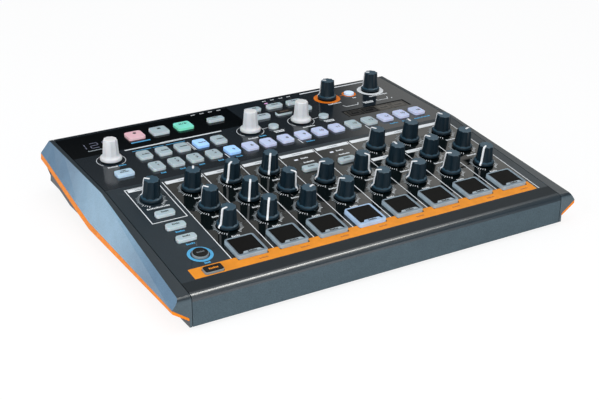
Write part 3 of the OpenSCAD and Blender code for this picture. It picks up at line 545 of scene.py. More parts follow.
trim_orange = moulded("trim_satin_orange", "f58a1e", 0.5, spec=0.15)
foot_rubber = moulded("foot_rubber", "17191b", 0.8, 0.6, 0.08)
# Painted shade: a knob's sides are darker than its top.
knob_plastic = moulded("knob_slate_plastic", "27495b", 0.42, 0.4, 0.01, 0.05, "081f2a", 0.5,
                       spec=0.28)
pointer_white = moulded("pointer_white_paint", "f4f6f8", 0.5, vary=0.02)
# Painted shade: an encoder's sides are a little darker than its top.
encoder_white = moulded("encoder_white_plastic", "ececec", 0.38, 0.5, 0.01, 0.015, "d9dbdd",
                        subsurface_weight=0.08, subsurface_scale=0.002)
shaft_steel = moulded("shaft_steel", "a9adb0", 0.3, metallic=1.0)
socket_plastic = moulded("socket_black_plastic", "1b1d20", 0.4)
screw_steel = moulded("screw_black_steel", "2a2d30", 0.35, metallic=0.9)
control_steel = moulded("control_steel", "9a9ea2", 0.4, metallic=0.8)
board_green = moulded("board_green_lacquer", "174d2b", 0.3, 1.2)
window_black = moulded("window_black_gloss", "03070b", 0.08, 2.0, 0.001, 0.02, spec=0.15)
strip_grey = moulded("strip_satin_grey", "3b3934", 0.3, 0.4, 0.003, spec=0.25)
strip_tile = moulded("strip_tile_grey", "56524c", 0.3, 0.4, 0.002, spec=0.25)
strip_dark = moulded("strip_tile_dark", "07090c", 0.3, 0.4, 0.003, spec=0.2)
strip_recess_shadow = moulded("strip_recess_painted_shadow", "04080e", 0.7, 0.4, 0.003, spec=0.08)
# Painted light: a pad frame's sides are lighter than its top.
pad_frame = moulded("pad_frame_rubber", "748490", 0.5, side="9db0bb", spec=0.3)
pad_frame_lit = moulded("pad_frame_lit_rubber", "93aecb", 0.5, side="a9c3df", spec=0.3,
                        emission_color=colour("b8d0f0"), emission_strength=0.12)
pad_tab = moulded("pad_tab_rubber", "9dabb3", 0.5, spec=0.3)
pad_dark = moulded("pad_inset_rubber", "080808", 0.7, 0.5, 0.04, spec=0.08)
key_black = moulded("key_black_top", "0c0e10", 0.6, spec=0.15)

# %% [markdown]
# The keys are silicone, which light can enter a little, and some have a lamp behind them. A lit key
# gets a faint glow of its own colour as well.

# %% Silicone
def silicone(name, web, side, glow=0.0):
    return moulded(f"key_{name}_silicone", web, 0.5, 0.4, 0.01, 0.02, side, spec=0.35, subsurface_weight=0.15,
                   subsurface_scale=0.0015, emission_color=colour(web), emission_strength=glow)


# Painted light and shade: each key's second colour lies on its sides, lighter than the top on most keys and
# darker on the blue and lit ones.
key_grey = silicone("grey", "b0c3ca", "d4e2e7")
key_lavender = silicone("lavender", "bcc8e6", "cdd4ef", 0.17)
key_pink = silicone("pink", "e7b9c2", "eec6cc", 0.1)
key_mint = silicone("mint", "7ce2ce", "7fe8c2", 0.12)
key_blue = silicone("blue", "a2cffa", "97c2fb", 0.3)
key_ice = silicone("ice", "b2ccde", "c2dcf2", 0.12)
key_lit = silicone("lit", "d3e6fa", "b4d3f4", 0.3)
key_shade = silicone("shade", "7d878b", "8b959a")

# %% [markdown]
# Ink is a thin solid, so that it also shows in the exported model. It has a slight unevenness.

# %% Inks
def ink(name, web, **constants):
    return moulded("ink_" + name, web, 0.6, vary=0.03, **constants)


ink_white = ink("white", "eef3f6")
ink_grey = ink("grey", "9aa4aa")
ink_blue = ink("blue", "41a9dc")
ink_orange = ink("orange", "f09421", spec=0.15)
ink_drive = ink("drive_orange", "ee7c10", spec=0.15)
ink_dark = ink("dark", "171c20", spec=0.25)
ink_umber = ink("umber", "b0641a")
ink_ash = ink("ash", "3c3e3e", spec=0.25)
ink_steel = ink("steel", "646d73")
ink_brown = ink("brown", "6a5648")
ink_violet = moulded("display_segment", "74778c", 0.4, vary=0.03)

# %% [markdown]
# Four tools print: a filled outline, a stroke along a line, a row of blocks in place of a word, and
# plain numerals made of strokes. The corners of a numeral are cut twice, which rounds them.

# %% Print tools
INK_LOW, INK_HIGH = -0.02, 0.08


def oblong(w, l, x=0.0, y=0.0):
    """Corners of a rectangle w by l centred at [x, y]."""
    return [(x + w / 2, y + l / 2), (x - w / 2, y + l / 2), (x - w / 2, y - l / 2), (x + w / 2, y - l / 2)]


def fill(solids, outline, at, part=0, z=0.0):
    """Prints a filled outline; z is the height of what it is printed on."""
    solids.shell([lift(outline, z + INK_LOW), lift(outline, z + INK_HIGH)], part, at)


def stroke(solids, line, width, at, part=0, z=0.0, closed=False):
    """Prints a line of constant width."""
    solids.shell(ribbon(line, width, z + INK_LOW, z + INK_HIGH, closed), part, at, loop=closed)


def word(solids, x0, x1, s, part=0, high=1.7, z=0.0, at=None):
    """Prints a row of plain blocks from x0 to x1, where a word would stand."""
    pitch = high * 0.68
    count = max(2, round((x1 - x0) / pitch))
    for i in range(count):
        tall = high if i % 3 == 0 else high * 0.74
        left = x0 + (x1 - x0) * i / count
        block = oblong(pitch * 0.72, tall, left + pitch * 0.4, (tall - high) / 2)
        place = at @ Matrix.Translation((0, s * MM, 0)) if at else seat(0, s)
        fill(solids, block, place, part, z)


def eased(line, times=2):
    """Cuts the corners of a line, which leaves its ends where they are."""
    for _ in range(times):
        points = [line[0]]
        for a, b in zip(line, line[1:]):
            points += [tuple(0.75 * p + 0.25 * q for p, q in zip(a, b)),
                       tuple(0.25 * p + 0.75 * q for p, q in zip(a, b))]
        line = points + [line[-1]]
    return line


NUMERAL_H, NUMERAL_LINE = 2.2, 0.5
BOWL = [(0.5, 0.85), (1, 0.85), (1, 0), (0, 0), (0, 0.85), (0.5, 0.85)]
NUMERALS = {
    "0": [eased([(0.5, 1.6), (0, 1.6), (0, 0), (1, 0), (1, 1.6), (0.5, 1.6)])],
    "1": [[(0.15, 1.2), (0.6, 1.6), (0.6, 0)]],
    "2": [eased([(0, 1.2), (0.1, 1.6), (1, 1.6), (1, 0.9), (0.1, 0.1)]), [(0, 0), (1, 0)]],
    "3": [eased([(0, 1.6), (1, 1.6), (1, 0.85), (0.4, 0.85)]),
          eased([(0.4, 0.85), (1, 0.85), (1, 0), (0, 0)])],
    "4": [[(0.75, 0), (0.75, 1.6), (0, 0.45), (1, 0.45)]],
    "5": [[(0.95, 1.6), (0.15, 1.6), (0.1, 0.9)], eased([(0.1, 0.9), (1, 1.0), (1, 0), (0, 0)])],
    "6": [eased([(0.85, 1.6), (0.1, 1.5), (0, 0.4)]), eased(BOWL)],
    "7": [[(0, 1.6), (1, 1.6), (0.35, 0)]],
    "8": [eased(BOWL),
          eased([(0.5, 0.85), (0.95, 0.85), (0.95, 1.6), (0.05, 1.6), (0.05, 0.85), (0.5, 0.85)])],
    "9": [eased([(1 - x, 1.6 - y) for x, y in BOWL]), eased([(0.15, 0), (0.9, 0.1), (1, 1.2)])],
}


def numeral(solids, text, at, part, z):
    """Prints a plain number centred on a place."""
    unit = NUMERAL_H / 1.6
    start = -(len(text) * 1.4 - 0.4) / 2
    for i, digit in enumerate(text):
        for line in NUMERALS[digit]:
            points = [((start + i * 1.4 + x) * unit, (y - 0.8) * unit) for x, y in line]
            stroke(solids, points, NUMERAL_LINE, at, part, z)


# %% [markdown]
# ## The frame's own parts
# Sheet, cheeks, trims, window and sockets keep their CAD shape. On some, a small bevel catches the
# light as a real edge does.

# %% Dress the CAD nodes
WELD_REACH = 0.00001


def dress(node, finish, bevel=0.0):
    """Gives a CAD node its finish, joins its split corners and rounds its edges a little."""
    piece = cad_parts[node]
    piece.data.materials.clear()
    piece.data.materials.append(finish.material)
    weld = piece.modifiers.new("weld", "WELD")
    weld.merge_threshold = WELD_REACH
    if bevel:
        edge = piece.modifiers.new("edge", "BEVEL")
        edge.width = bevel * MM
        edge.segments = 2
        edge.limit_method = "ANGLE"
        edge.angle_limit = EDGE_ANGLE
        edge.use_clamp_overlap = True
    print(node, "wears", finish.material.name)


for node, finish, *bevel in (
        ("top_panel", panel), ("rear_panel", tray_coat), ("bottom_tray", tray_coat),
        ("left_cheek", cheek, 0.3), ("right_cheek", cheek, 0.3), ("side_trims", trim_orange, 0.25),
        ("display_window", window_black), ("touch_strip", strip_grey, 0.1),
        ("control_boards", board_green), ("rotary_bodies", control_steel), ("jack_sockets", socket_plastic),
        ("midi_sockets", socket_plastic), ("power_usb_inlets", socket_plastic),
        ("rubber_feet", foot_rubber, 0.4), ("screws", screw_steel)):
    dress(node, finish, *bevel)

# %% [markdown]
# ## Voice knobs
# A voice knob is a round skirt and a fluted grip that flares into it, with a raised white pointer
# down to the skirt. The cap is a stack of fluted circles. The flutes fade out where the grip meets the
# skirt, which gives the wavy line round its foot.

# %% Knob cap
KNOB_FOOT, SHAFT_R, SHAFT_LOW, SHAFT_GAP = 1.0, 3.0, -9.0, 0.01
KNOB_H, METRONOME_H, OUTPUT_H, ENCODER_H = 15.3, 16.0, 15.6, 16.7
POINTER_HALF, POINTER_SINK, POINTER_RISE = 0.68, 0.4, 0.15
RINGS_N = RIDGES * 16


def fluted_cap(name, x, s, turn, stations, shaft_part):
    """Starts a cap on its shaft; a station is (height, radius, flute depth)."""
    cap = Solids(name + "_cap", seat(x, s, turn))
    cap.shell([lift(circle(r, RINGS_N, flute), z) for z, r, flute in stations])
    cap.shell([lift(circle(SHAFT_R), z) for z in (SHAFT_LOW, KNOB_FOOT - SHAFT_GAP)], shaft_part)
    return cap


def knob_profile(h):
    """Stations of a knob of height h."""
    return [(KNOB_FOOT, 7.2, 0), (1.2, 7.5, 0), (1.7, 7.62, 0), (2.1, 7.62, 0), (2.5, 7.5, 0),
            (2.85, 7.24, 0), (3.1, 6.9, 0), (3.25, 6.6, 0.05), (3.36, 6.38, 0.25), (3.55, 6.28, 0.55),
            (4.1, 6.2, 0.72), (h - 0.5, 5.44, 0.72), (h - 0.22, 5.4, 0.72), (h - 0.06, 5.3, 0.7),
            (h, 5.12, 0.64), (h, 4.4, 0.4), (h - 0.06, 3.2, 0.06), (h - 0.08, 1.0, 0)]


def pointer_line(h):
    """The pointer's path over the cap as (out, height) and the way its face looks."""
    return [((4.6, h), (0, 1)), ((5.06, h - 0.08), (0.45, 0.9)), ((5.36, h - 0.35), (1, 0.2)),
            ((5.46, h - 0.8), (1, 0.08)), ((6.12, 5.2), (1, 0.1)), ((6.22, 4.4), (1, 0.25)),
            ((6.4, 3.9), (0.85, 0.5)), ((6.8, 3.3), (0.6, 0.8)), ((7.3, 2.95), (0.8, 0.6)),
            ((7.56, 2.5), (1, 0.15)), ((7.6, 1.5), (1, 0))]


def pot_knob(name, x, s, turn, h=KNOB_H):
    """A fluted cap with its pointer; turn is the pointer's angle clockwise from the rear."""
    cap = fluted_cap(name, x, s, turn, knob_profile(h), 2)
    low, high = h - POINTER_SINK, h + POINTER_RISE
    rail = [[(-half, out, low), (half, out, low), (half, out, high), (-half, out, high)]
            for half, out in ((0.3, 1.2), (0.5, 1.35), (POINTER_HALF, 1.75))]
    for spot, facing in pointer_line(h):
        spot, normal = Vector(spot), Vector(facing).normalized()
        low, high = spot - normal * POINTER_SINK, spot + normal * POINTER_RISE
        rail.append([(-POINTER_HALF, *low), (POINTER_HALF, *low),
                     (POINTER_HALF, *high), (-POINTER_HALF, *high)])
    cap.shell(rail, 1)
    cap.make([knob_plastic, pointer_white, shaft_steel], "knob_slate", name)


# %% [markdown]
# Each knob stands on its own body, so each is its own piece. The table gives its voice, its row and
# the way its pointer looks at rest, in degrees clockwise from the rear.

# %% All the knobs
VOICE_KNOBS = {
    "kick_pitch": (0, 0, 29), "kick_decay": (0, 1, -40), "kick_level": (0, 2, -104),
    "snare1_snap": (1, 0, -128), "snare1_decay": (1, 1, -149), "snare1_level": (1, 2, -146),
    "snare2_tone": (2, 0, -147), "snare2_decay": (2, 1, 150), "snare2_level": (2, 2, 67),
    "tom_pitch": (3, 1, -80), "tom_level": (3, 2, -62),
    "cymbal_decay": (4, 1, 155), "cymbal_level": (4, 2, -70),
    "fm_carrier": (5, 0, -37), "closed_hat_tone": (5, 1, -3), "closed_hat_level": (5, 2, -72),
    "fm_decay": (6, 0, 0), "open_hat_decay": (6, 1, -36), "open_hat_level": (6, 2, -63),
    "fm_amount": (7, 0, -33), "fm_pitch": (7, 1, 72), "fm_level": (7, 2, -122),
}
knob_sites = []
for name, (voice, row, turn) in VOICE_KNOBS.items():
    pot_knob(name + "_knob", voice_x[voice], ROW_S[row], turn)
    knob_sites.append((voice_x[voice], ROW_S[row]))
METRONOME = (LEFT_X - 0.3, -21.5)
DRIVE, VOLUME = (78.8, 77.2), (120.4, 76.7)
pot_knob("metronome_knob", *METRONOME, -50, METRONOME_H)
pot_knob("drive_knob", *DRIVE, -51, OUTPUT_H)
pot_knob("volume_knob", *VOLUME, -50, OUTPUT_H)

# %% [markdown]
# ## Encoders
# The three white encoders turn without end, so they have no pointer. They are taller, with a round
# lip at the foot, and their flutes run up over the rim of the top.

# %% Encoder caps
h = ENCODER_H
ENCODER_PROFILE = [(KNOB_FOOT, 7.5, 0), (1.2, 7.8, 0), (1.6, 7.9, 0), (2.5, 7.88, 0), (2.9, 7.72, 0),
                   (3.3, 7.35, 0), (3.6, 6.9, 0.02), (4.0, 6.42, 0.12), (4.5, 6.12, 0.26),
                   (5.2, 5.95, 0.38), (6.2, 5.86, 0.42), (h - 1.1, 5.15, 0.42), (h - 0.55, 5.05, 0.42),
                   (h - 0.2, 4.86, 0.4), (h - 0.04, 4.55, 0.36), (h, 4.2, 0.3), (h, 3.2, 0.1), (h, 1.0, 0)]
TEMPO, SWING, RANDOM = (-121.6, 46.0), (-8.6, 46.5), (35.5, 45.7)
for name, site in (("tempo_encoder", TEMPO), ("swing_encoder", SWING), ("random_encoder", RANDOM)):
    cap = fluted_cap(name, *site, 0, ENCODER_PROFILE, 1)
    cap.make([encoder_white, shaft_steel], "encoder_white", name)

# %% [markdown]
# ## Keys
# Every key is a silicone block with a rounded rim that comes up through its hole. It starts below the
# sheet, so that no light leaks round a pressed key.

# %% Key builder
KEY_DEPTH = -3.3


def add_cap(outline_at, solids, x, s, top, part=0, edge=0.25, bottom=KEY_DEPTH, crown=0.04):
    """Adds a block with a rounded rim, top mm over the panel."""
    solids.shell(soft_top(outline_at, bottom, top - crown, edge, crown), part, seat(x, s))


def add_key(solids, x, s, w, l, r, *rest):
    add_cap(lambda inset: rounded(w - 2 * inset, l - 2 * inset, max(0.15, r - inset)), solids, x, s, *rest)


def add_round_key(solids, x, s, r, *rest):
    add_cap(lambda inset: circle(r - inset), solids, x, s, *rest)


# Width, length, corner and top of each kind of key
STEP_KEY = (9.7, 12.6, 2.1, 1.8)
TRANSPORT_KEY = (13.1, 12.7, 2.2, 1.8)
SMALL_KEY = (13.3, 6.3, 1.9, 2.0)
FRONT_KEY = (13.6, 6.1, 1.9, 2.1)
# Part, rim, foot and crown of a black plate
PLATE = (1, 0.15, 1.4, 0.02)
RECORD_X, STOP_X, PLAY_X = -89.5, -69.7, -49.5

# %% [markdown]
# Sixteen step keys stand in a row with five mode keys behind them. The CAD moves each row as one node,
# so each row is one piece, with its numerals or blocks printed on the keys.

# %% Step and mode keys
KEY_TOP = STEP_KEY[3]
DOT_R = 0.6
step_part = [0, 0, 0, 0, 2, 1, 1, 1, 1, 1, 1, 0, 0, 1, 1, 1]
keys = Solids("step_key_caps")
for i, (x, part) in enumerate(zip(step_x, step_part)):
    add_key(keys, x, STEP_S, *STEP_KEY, part)
    numeral(keys, str(i + 1), seat(x + 1.1, STEP_S - 0.5), 3, KEY_TOP)
    if i < 4:
        fill(keys, circle(DOT_R, 16), seat(x + 0.9, STEP_S + 3.4), 3, KEY_TOP)
keys.make([key_grey, key_lavender, key_blue, ink_dark], "key_lavender", "step_keys")

keys = Solids("mode_key_caps")
for i, x in enumerate(step_x[:5]):
    add_key(keys, x, MODE_S, *STEP_KEY, 1 if i == 3 else 0)
    word(keys, x - 1.8, x + 3.9, MODE_S - 0.3, 2, 1.5, KEY_TOP)
keys.make([key_grey, key_blue, ink_dark], "key_grey", "mode_keys")

# %% [markdown]
# The three transport keys carry the signs that every recorder uses: a disc to record, a square to
# stop, and two bars, a slash and a triangle to pause or play.

# %% Transport keys
SIGN_S, SIGN_H = TRANSPORT_S + 2.2, 2.3
SIGNS = {"record_key": [circle(1.35, 24)], "stop_key": [oblong(2.5, SIGN_H)],
         "play_key": [oblong(0.6, SIGN_H, -3.0), oblong(0.6, SIGN_H, -1.9),
                      [(1.0, 1.25), (1.0, -1.25), (3.3, 0)]]}
for name, x, finish, slot in (("record_key", RECORD_X, key_pink, "key_pink"),
                              ("stop_key", STOP_X, key_grey, "key_grey"),
                              ("play_key", PLAY_X, key_mint, "key_mint")):
    keys = Solids(name + "_cap")
    add_key(keys, x, TRANSPORT_S, *TRANSPORT_KEY)
    sign = seat(x + 0.6, SIGN_S)
    for outline in SIGNS[name]:
        fill(keys, outline, sign, 1, KEY_TOP)
    if name == "play_key":
        stroke(keys, [(-0.8, -1.2), (0.2, 1.2)], 0.4, sign, 1, KEY_TOP)
    keys.make([finish, ink_dark], slot, name)

# %% [markdown]
# The small keys of the rear plane make one piece too. Most are oblong and three are round. One has a
# black plate glued on its silicone.

# %% Small keys at the rear
SMALL_SITES = [(x, s) for s in (66.0, 81.1) for x in (12.3, 31.8, 50.0)]
BLACK_TOPPED = 1
TAP, SYNC = (-122.4, 19.9), (-22.1, TRANSPORT_S + 0.3)
ROUND_SITES = [(10.9, 45.3), (55.8, 45.2)]
LIT_ROUND = (100.0, 77.5)

SMALL_TOP = SMALL_KEY[3]
keys = Solids("rear_key_caps")
for i, (x, s) in enumerate(SMALL_SITES):
    if i == BLACK_TOPPED:
        add_key(keys, x, s, *SMALL_KEY[:3], SMALL_TOP - 0.5)
        add_key(keys, x, s, 12.7, 5.7, 1.2, SMALL_TOP, *PLATE)
        word(keys, x - 3.6, x + 4.0, s - 0.4, 4, 1.4, SMALL_TOP)
    else:
        add_key(keys, x, s, *SMALL_KEY)
        word(keys, x - 2.4, x + 3.4, s + 0.4, 3, 1.3, SMALL_TOP)
add_key(keys, *SYNC, 13.4, 6.3, 1.5, SMALL_TOP)
add_key(keys, *TAP, 12.7, 8.9, 1.6, SMALL_TOP, 2)
word(keys, SYNC[0] - 2.0, SYNC[0] + 2.8, SYNC[1] + 1.4, 3, 1.2, SMALL_TOP)
for out, s in ((2.0, 2.0), (3.4, -0.2)):
    word(keys, TAP[0] - out, TAP[0] + out, TAP[1] + s, 3, 1.3, SMALL_TOP)
for x, s in ROUND_SITES:
    add_round_key(keys, x, s, 3.9, 1.9)
add_round_key(keys, *LIT_ROUND, 4.1, 1.6, 5)
keys.make([key_grey, key_black, key_ice, ink_dark, ink_brown, key_lit], "key_grey", "rear_keys")

# %% [markdown]
# On the front plane stand five oblong keys, a round shift key and a wide colour key. The last two have
# a black plate, and their silicone shows as a grey edge round it.

# %% Small keys in front
LEFT_KEYS = [(LEFT_X + 0.1, s) for s in (-42.0, -58.6, -74.3)]
TYPE_KEYS = [(voice_x[i] - 0.8, -28.0) for i in (3, 4)]
SHIFT, COLOUR_KEY = (LEFT_X + 0.4, -93.7), (LEFT_X, -112.4)
COLOUR_TOP = 1.9
keys = Solids("front_key_caps")
for x, s in LEFT_KEYS + TYPE_KEYS:
    add_key(keys, x, s, *FRONT_KEY)
    word(keys, x - 2.4, x + 3.0, s + 0.6, 2, 1.5, FRONT_KEY[3])
add_round_key(keys, *SHIFT, 5.4, SMALL_TOP - 0.5, 5)
add_round_key(keys, *SHIFT, 4.9, SMALL_TOP, *PLATE)
word(keys, SHIFT[0] - 2.6, SHIFT[0] + 2.8, SHIFT[1], 3, 1.4, SMALL_TOP)
add_key(keys, *COLOUR_KEY, 13.0, 6.8, 1.6, 1.5, 5)
add_key(keys, *COLOUR_KEY, 12.4, 6.2, 1.3, COLOUR_TOP, 1, 0.15, 1.0, 0.02)
word(keys, COLOUR_KEY[0] - 3.2, COLOUR_KEY[0] + 3.4, COLOUR_KEY[1] - 0.2, 4, 1.6, COLOUR_TOP)
keys.make([key_grey, key_black, ink_dark, ink_steel, ink_orange, key_shade], "key_grey", "front_keys")

# %% [markdown]
# ## Drum pads
# A pad is a rubber frame with a dark playing face let into it, and a tab that runs in at the front
# edge. The frame's rings go up the outside, over the rim and down the inside, so the face sits in it.

# %% Pads
PAD_NAMES = [name + "_pad" for name in
             ("kick", "snare1", "snare2", "tom", "cymbal", "closed_hat", "open_hat", "fm")]
PAD_W, PAD_R, PAD_TOP, FACE_SINK = 21.3, 2.0, 2.7, 0.55
INSET_W, INSET_R, INSET_BACK, FACE_W = 18.6, 1.0, 0.65, 18.5


def square(w, r, back=0.0):
    """Outline of a square with round corners."""
    return moved(rounded(w, w, r), 0, back)


for x, name in zip(voice_x, PAD_NAMES):
    pad = Solids(name + "_cap", seat(x + PAD_SHIFT, PAD_S))
    rings = [lift(square(PAD_W - 2 * inset, PAD_R - inset), z) for inset, z in (
        (0, KEY_DEPTH), (0, PAD_TOP - 0.55), (0.08, PAD_TOP - 0.25), (0.22, PAD_TOP - 0.07), (0.45, PAD_TOP))]
    rings += [lift(square(INSET_W + 2 * grow, INSET_R + grow, INSET_BACK), z) for grow, z in (
        (0.12, PAD_TOP), (0.03, PAD_TOP - 0.06), (0, PAD_TOP - 0.15), (0, 1.2), (0.3, KEY_DEPTH))]
    pad.shell(rings, 0, loop=True)
    pad.shell(soft_top(lambda inset: square(FACE_W - 2 * inset, 0.9, INSET_BACK),
                       1.0, PAD_TOP - FACE_SINK, 0.2), 1)
    front = INSET_BACK - INSET_W / 2
    tab = [(6.2, front + 2.0), (-5.2, front + 2.0), (-6.9, front - 0.3), (7.7, front - 0.3)]
    rim = [(px * 0.99, py - 0.06) for px, py in tab]
    pad.shell([lift(tab, 1.1), lift(tab, PAD_TOP - 0.12), lift(rim, PAD_TOP - 0.02)], 3)
    word(pad, -2.6, 3.8, front + 0.8, 2, 1.55, PAD_TOP, Matrix.Identity(4))
    frame_finish, tab_finish = (pad_frame_lit, pad_frame_lit) if name == "tom_pad" else (pad_frame, pad_tab)
    pad.make([frame_finish, pad_dark, ink_dark, tab_finish], "pad_rubber", name)

# %% [markdown]
# ## The printed panel
# Fine white lines divide the voices, with a title bar at the rear of each. The last three share one
# bar, and two of those have a second bar of their own in front of their first row of knobs. All of it
# is printed over the black field in one pass, so it makes one piece.

# %% Voice grid
GRID_FRONT, SECOND_REAR, GRID_LINE = -106.2, -31.0, 0.56
BAR_REAR, SECOND_BAR_REAR = -3.6, -33.1
BAR_L, BAR_LEFT_GAP, BAR_RIGHT_GAP = 3.8, 1.6, 0.9
edge_x = [FIELD_LEFT + i * VOICE_PITCH for i in range(9)]

grid = Solids("voice_grid_print")
for i, x in enumerate(edge_x):
    rear = SECOND_REAR if i in (6, 7) else FIELD_REAR
    front = STRIP_FRONT if i == 8 else GRID_FRONT
    fill(grid, oblong(GRID_LINE, rear - front, x, (rear + front) / 2), FRONT)


def title_bar(first, last, s):
    """A bar over the voices first to last, with a short row of marks on it."""
    x0, x1 = edge_x[first] + BAR_LEFT_GAP, edge_x[last + 1] - BAR_RIGHT_GAP
    middle = (x0 + x1) / 2
    fill(grid, oblong(x1 - x0, BAR_L, middle, s - BAR_L / 2), FRONT)
    word(grid, middle - 4, middle + 5, s - BAR_L / 2, 1, 1.1, INK_HIGH)


for voice in range(5):
    title_bar(voice, voice, BAR_REAR)
title_bar(5, 7, BAR_REAR)
for voice in (5, 6):
    title_bar(voice, voice, SECOND_BAR_REAR)
BOX_LEFT, BOX_RIGHT, BOX_FRONT = -132.7, -107.8, -49.6
stroke(grid, [(BOX_LEFT, -3.7), (BOX_LEFT, BOX_FRONT), (BOX_RIGHT, BOX_FRONT), (BOX_RIGHT, -3.7)], 0.6, FRONT,
       closed=True)
fill(grid, oblong(21.8, 3.2, (BOX_LEFT + BOX_RIGHT) / 2, -6.0), FRONT)
word(grid, -126, -114, -6.0, 1, 1.3, INK_HIGH)
grid.make([ink_white, ink_grey], "print_white")

# %% [markdown]
# A pot turns through 300 degrees, so its scale has a mark every ten degrees and a longer one every
# thirty. The marks beside and behind the knob are broad and grey, and those in front are fine and white.

# %% Scales round the knobs
SCALE_END, SCALE_STEP, SIDE_END = 150, 10, 115
scales = Solids("knob_scale_print")
for x, s in knob_sites + [METRONOME]:
    for angle in range(-SCALE_END, SCALE_END + 1, SCALE_STEP):
        side_mark = abs(angle) < SIDE_END
        root, tip, near = (0.9, 0.3, 8.1) if side_mark else (0.46, 0.42, 8.3)
        far = 10.6 if angle % 30 == 0 else 9.9
        mark = [(tip / 2, far), (-tip / 2, far), (-root / 2, near), (root / 2, near)]
        fill(scales, mark, seat(x, s, angle), 1 if side_mark else 0)
scales.make([ink_white, ink_grey], "print_white")

# %% [markdown]
# Rings show what belongs together: thin white round the encoders, open where a label stands in
# front, broad orange for the drive and its key, and broad white for the volume.

# %% Rings
RING_N, RING_INNER, RING_OUTER = 72, 7.6, 10.9
ENCODER_RING, ENCODER_LINE, LINK_LINE = 10.3, 0.34, 0.4


def ring(solids, site, inner, outer, part=0):
    stroke(solids, circle((inner + outer) / 2, RING_N), outer - inner, seat(*site), part, closed=True)


rings = Solids("white_ring_print")
for site in (TEMPO, SWING, RANDOM):
    stroke(rings, arc(ENCODER_RING, -127, 153, 64), ENCODER_LINE, seat(*site))
for (x, s), (key_x, key_s) in ((SWING, ROUND_SITES[0]), (RANDOM, ROUND_SITES[1])):
    line = [(x + 10.8, s - 0.4), (key_x - 4.4, key_s + 1.2)]
    stroke(rings, line, LINK_LINE, REAR)
ring(rings, VOLUME, RING_INNER, RING_OUTER)
rings.make([ink_white], "print_white")

rings = Solids("orange_ring_print")
ring(rings, DRIVE, RING_INNER, RING_OUTER)
ring(rings, LIT_ROUND, 4.4, 5.9)
stroke(rings, [(DRIVE[0] + 10.8, DRIVE[1]), (LIT_ROUND[0] - 5.8, LIT_ROUND[1])], LINK_LINE, REAR)
rings.make([ink_drive], "print_orange")

# %% [markdown]
# The orange strip runs in front of the pads, with a notch for each pad and a hole for the key at its
# left end, so its outline is worked out from their places.

# %% Orange strip
STRIP_REAR, STRIP_NOTCH, STRIP_X, STRIP_SPLIT = GRID_FRONT, -109.7, 135.0, -106.0
NOTCH_HALF = PAD_W / 2 + 0.35
strip = Solids("orange_strip_print")
outline = [(STRIP_SPLIT, STRIP_FRONT), (STRIP_X, STRIP_FRONT), (STRIP_X, STRIP_REAR)]
for x in reversed(voice_x):
    right, left = x + PAD_SHIFT + NOTCH_HALF, x + PAD_SHIFT - NOTCH_HALF
    outline += [(right, STRIP_REAR), (right, STRIP_NOTCH), (left, STRIP_NOTCH), (left, STRIP_REAR)]
fill(strip, outline + [(STRIP_SPLIT, STRIP_REAR)], FRONT)
middle_x, middle_s = (STRIP_SPLIT - STRIP_X) / 2, (STRIP_FRONT + STRIP_REAR) / 2
around = moved(rounded(STRIP_SPLIT + STRIP_X, STRIP_REAR - STRIP_FRONT, 0.01), middle_x, middle_s)
hole = moved(rounded(13.6, 7.4, 1.8), *COLOUR_KEY)
strip.shell([lift(around, INK_LOW), lift(around, INK_HIGH), lift(hole, INK_HIGH), lift(hole, INK_LOW)], 0,
            FRONT, loop=True)
for x in voice_x:
    word(strip, x + 1.0, x + 7.5, -113.2, 1, 1.2, INK_HIGH)
strip.make([ink_orange, ink_umber], "print_orange")

# %% [markdown]
# Everything else on the sheet is a bar, a bracket or a row of blocks in place of a word. Lists say
# where each starts, where it ends and how far back it is.

# %% White marks
def bars(solids, rows):
    """Prints upright or lying bars; a row is (left, right, middle s, length)."""
    for x0, x1, s, length in rows:
        fill(solids, oblong(x1 - x0, length, (x0 + x1) / 2), seat(0, s))


marks = Solids("white_mark_print")
LABEL_DROP = 12.2
for voice, row, _ in VOICE_KNOBS.values():
    left, right = (-3.4, 2.8) if row == 2 else (-4.3, 4.0)
    if row > 0 or voice not in (5, 6):
        word(marks, voice_x[voice] + left, voice_x[voice] + right, ROW_S[row] - LABEL_DROP)
WHITE_WORDS = [(-128.8, -112.3, -32.2), (-128.7, -121.0, 34.8), (-17.0, -8.6, 33.9), (30.5, 41.0, 34.0),
               (7.0, 15.8, 37.7), (7.4, 15.0, 35.6), (51.6, 60.4, 37.7), (52.2, 60.0, 35.6),
               (72.5, 84.6, 65.0),
               (98.0, 101.4, 68.7), (100.1, 109.5, 56.4), (100.6, 109.0, 54.4), (111.9, 129.2, 64.9)]
for x0, x1, s in WHITE_WORDS:
    word(marks, x0, x1, s)
for i in (3, 4):
    word(marks, voice_x[i] - 0.4, voice_x[i] + 5.8, -12.6)
    word(marks, voice_x[i] - 1.4, voice_x[i] + 7.4, -18.6)
for x in (-33.0, -25.4, -18.1, -10.6, 30.4, 37.8, 45.6, 52.9):
    word(marks, x - 1.7, x + 1.7, 95.2, high=1.2)
bars(marks, [(-60.0, -59.4, 42.5, 15.3), (-61.075, -60.725, 42.5, 15.3), (-45.1, -44.5, 14.4, 7.8),
             (15.2, 15.8, 12.7, 7.6), (74.6, 75.2, 12.0, 7.0),
             (-106.4, -27.7, 57.2, 1.4), (-78.0, -60.0, 57.4, 2.3), (63.8, 126.5, 95.6, 1.4)])
for line in ([(82.0, 58.5), (83.3, 54.9), (94.2, 54.9), (96.5, 58.3)],
             [(112.6, 56.4), (113.4, 54.7), (122.9, 54.7), (124.8, 58.8)]):
    stroke(marks, line, 0.5, REAR)
fill(marks, circle(0.6, 12), seat(126.8, 54.5))
marks.make([ink_white], "print_white")

# %% [markdown]
# Blue ink is printed in a pass of its own, so its marks are a piece of their own: rows of blocks, bars
# between the transport and mode keys, and a ring round the shift key.

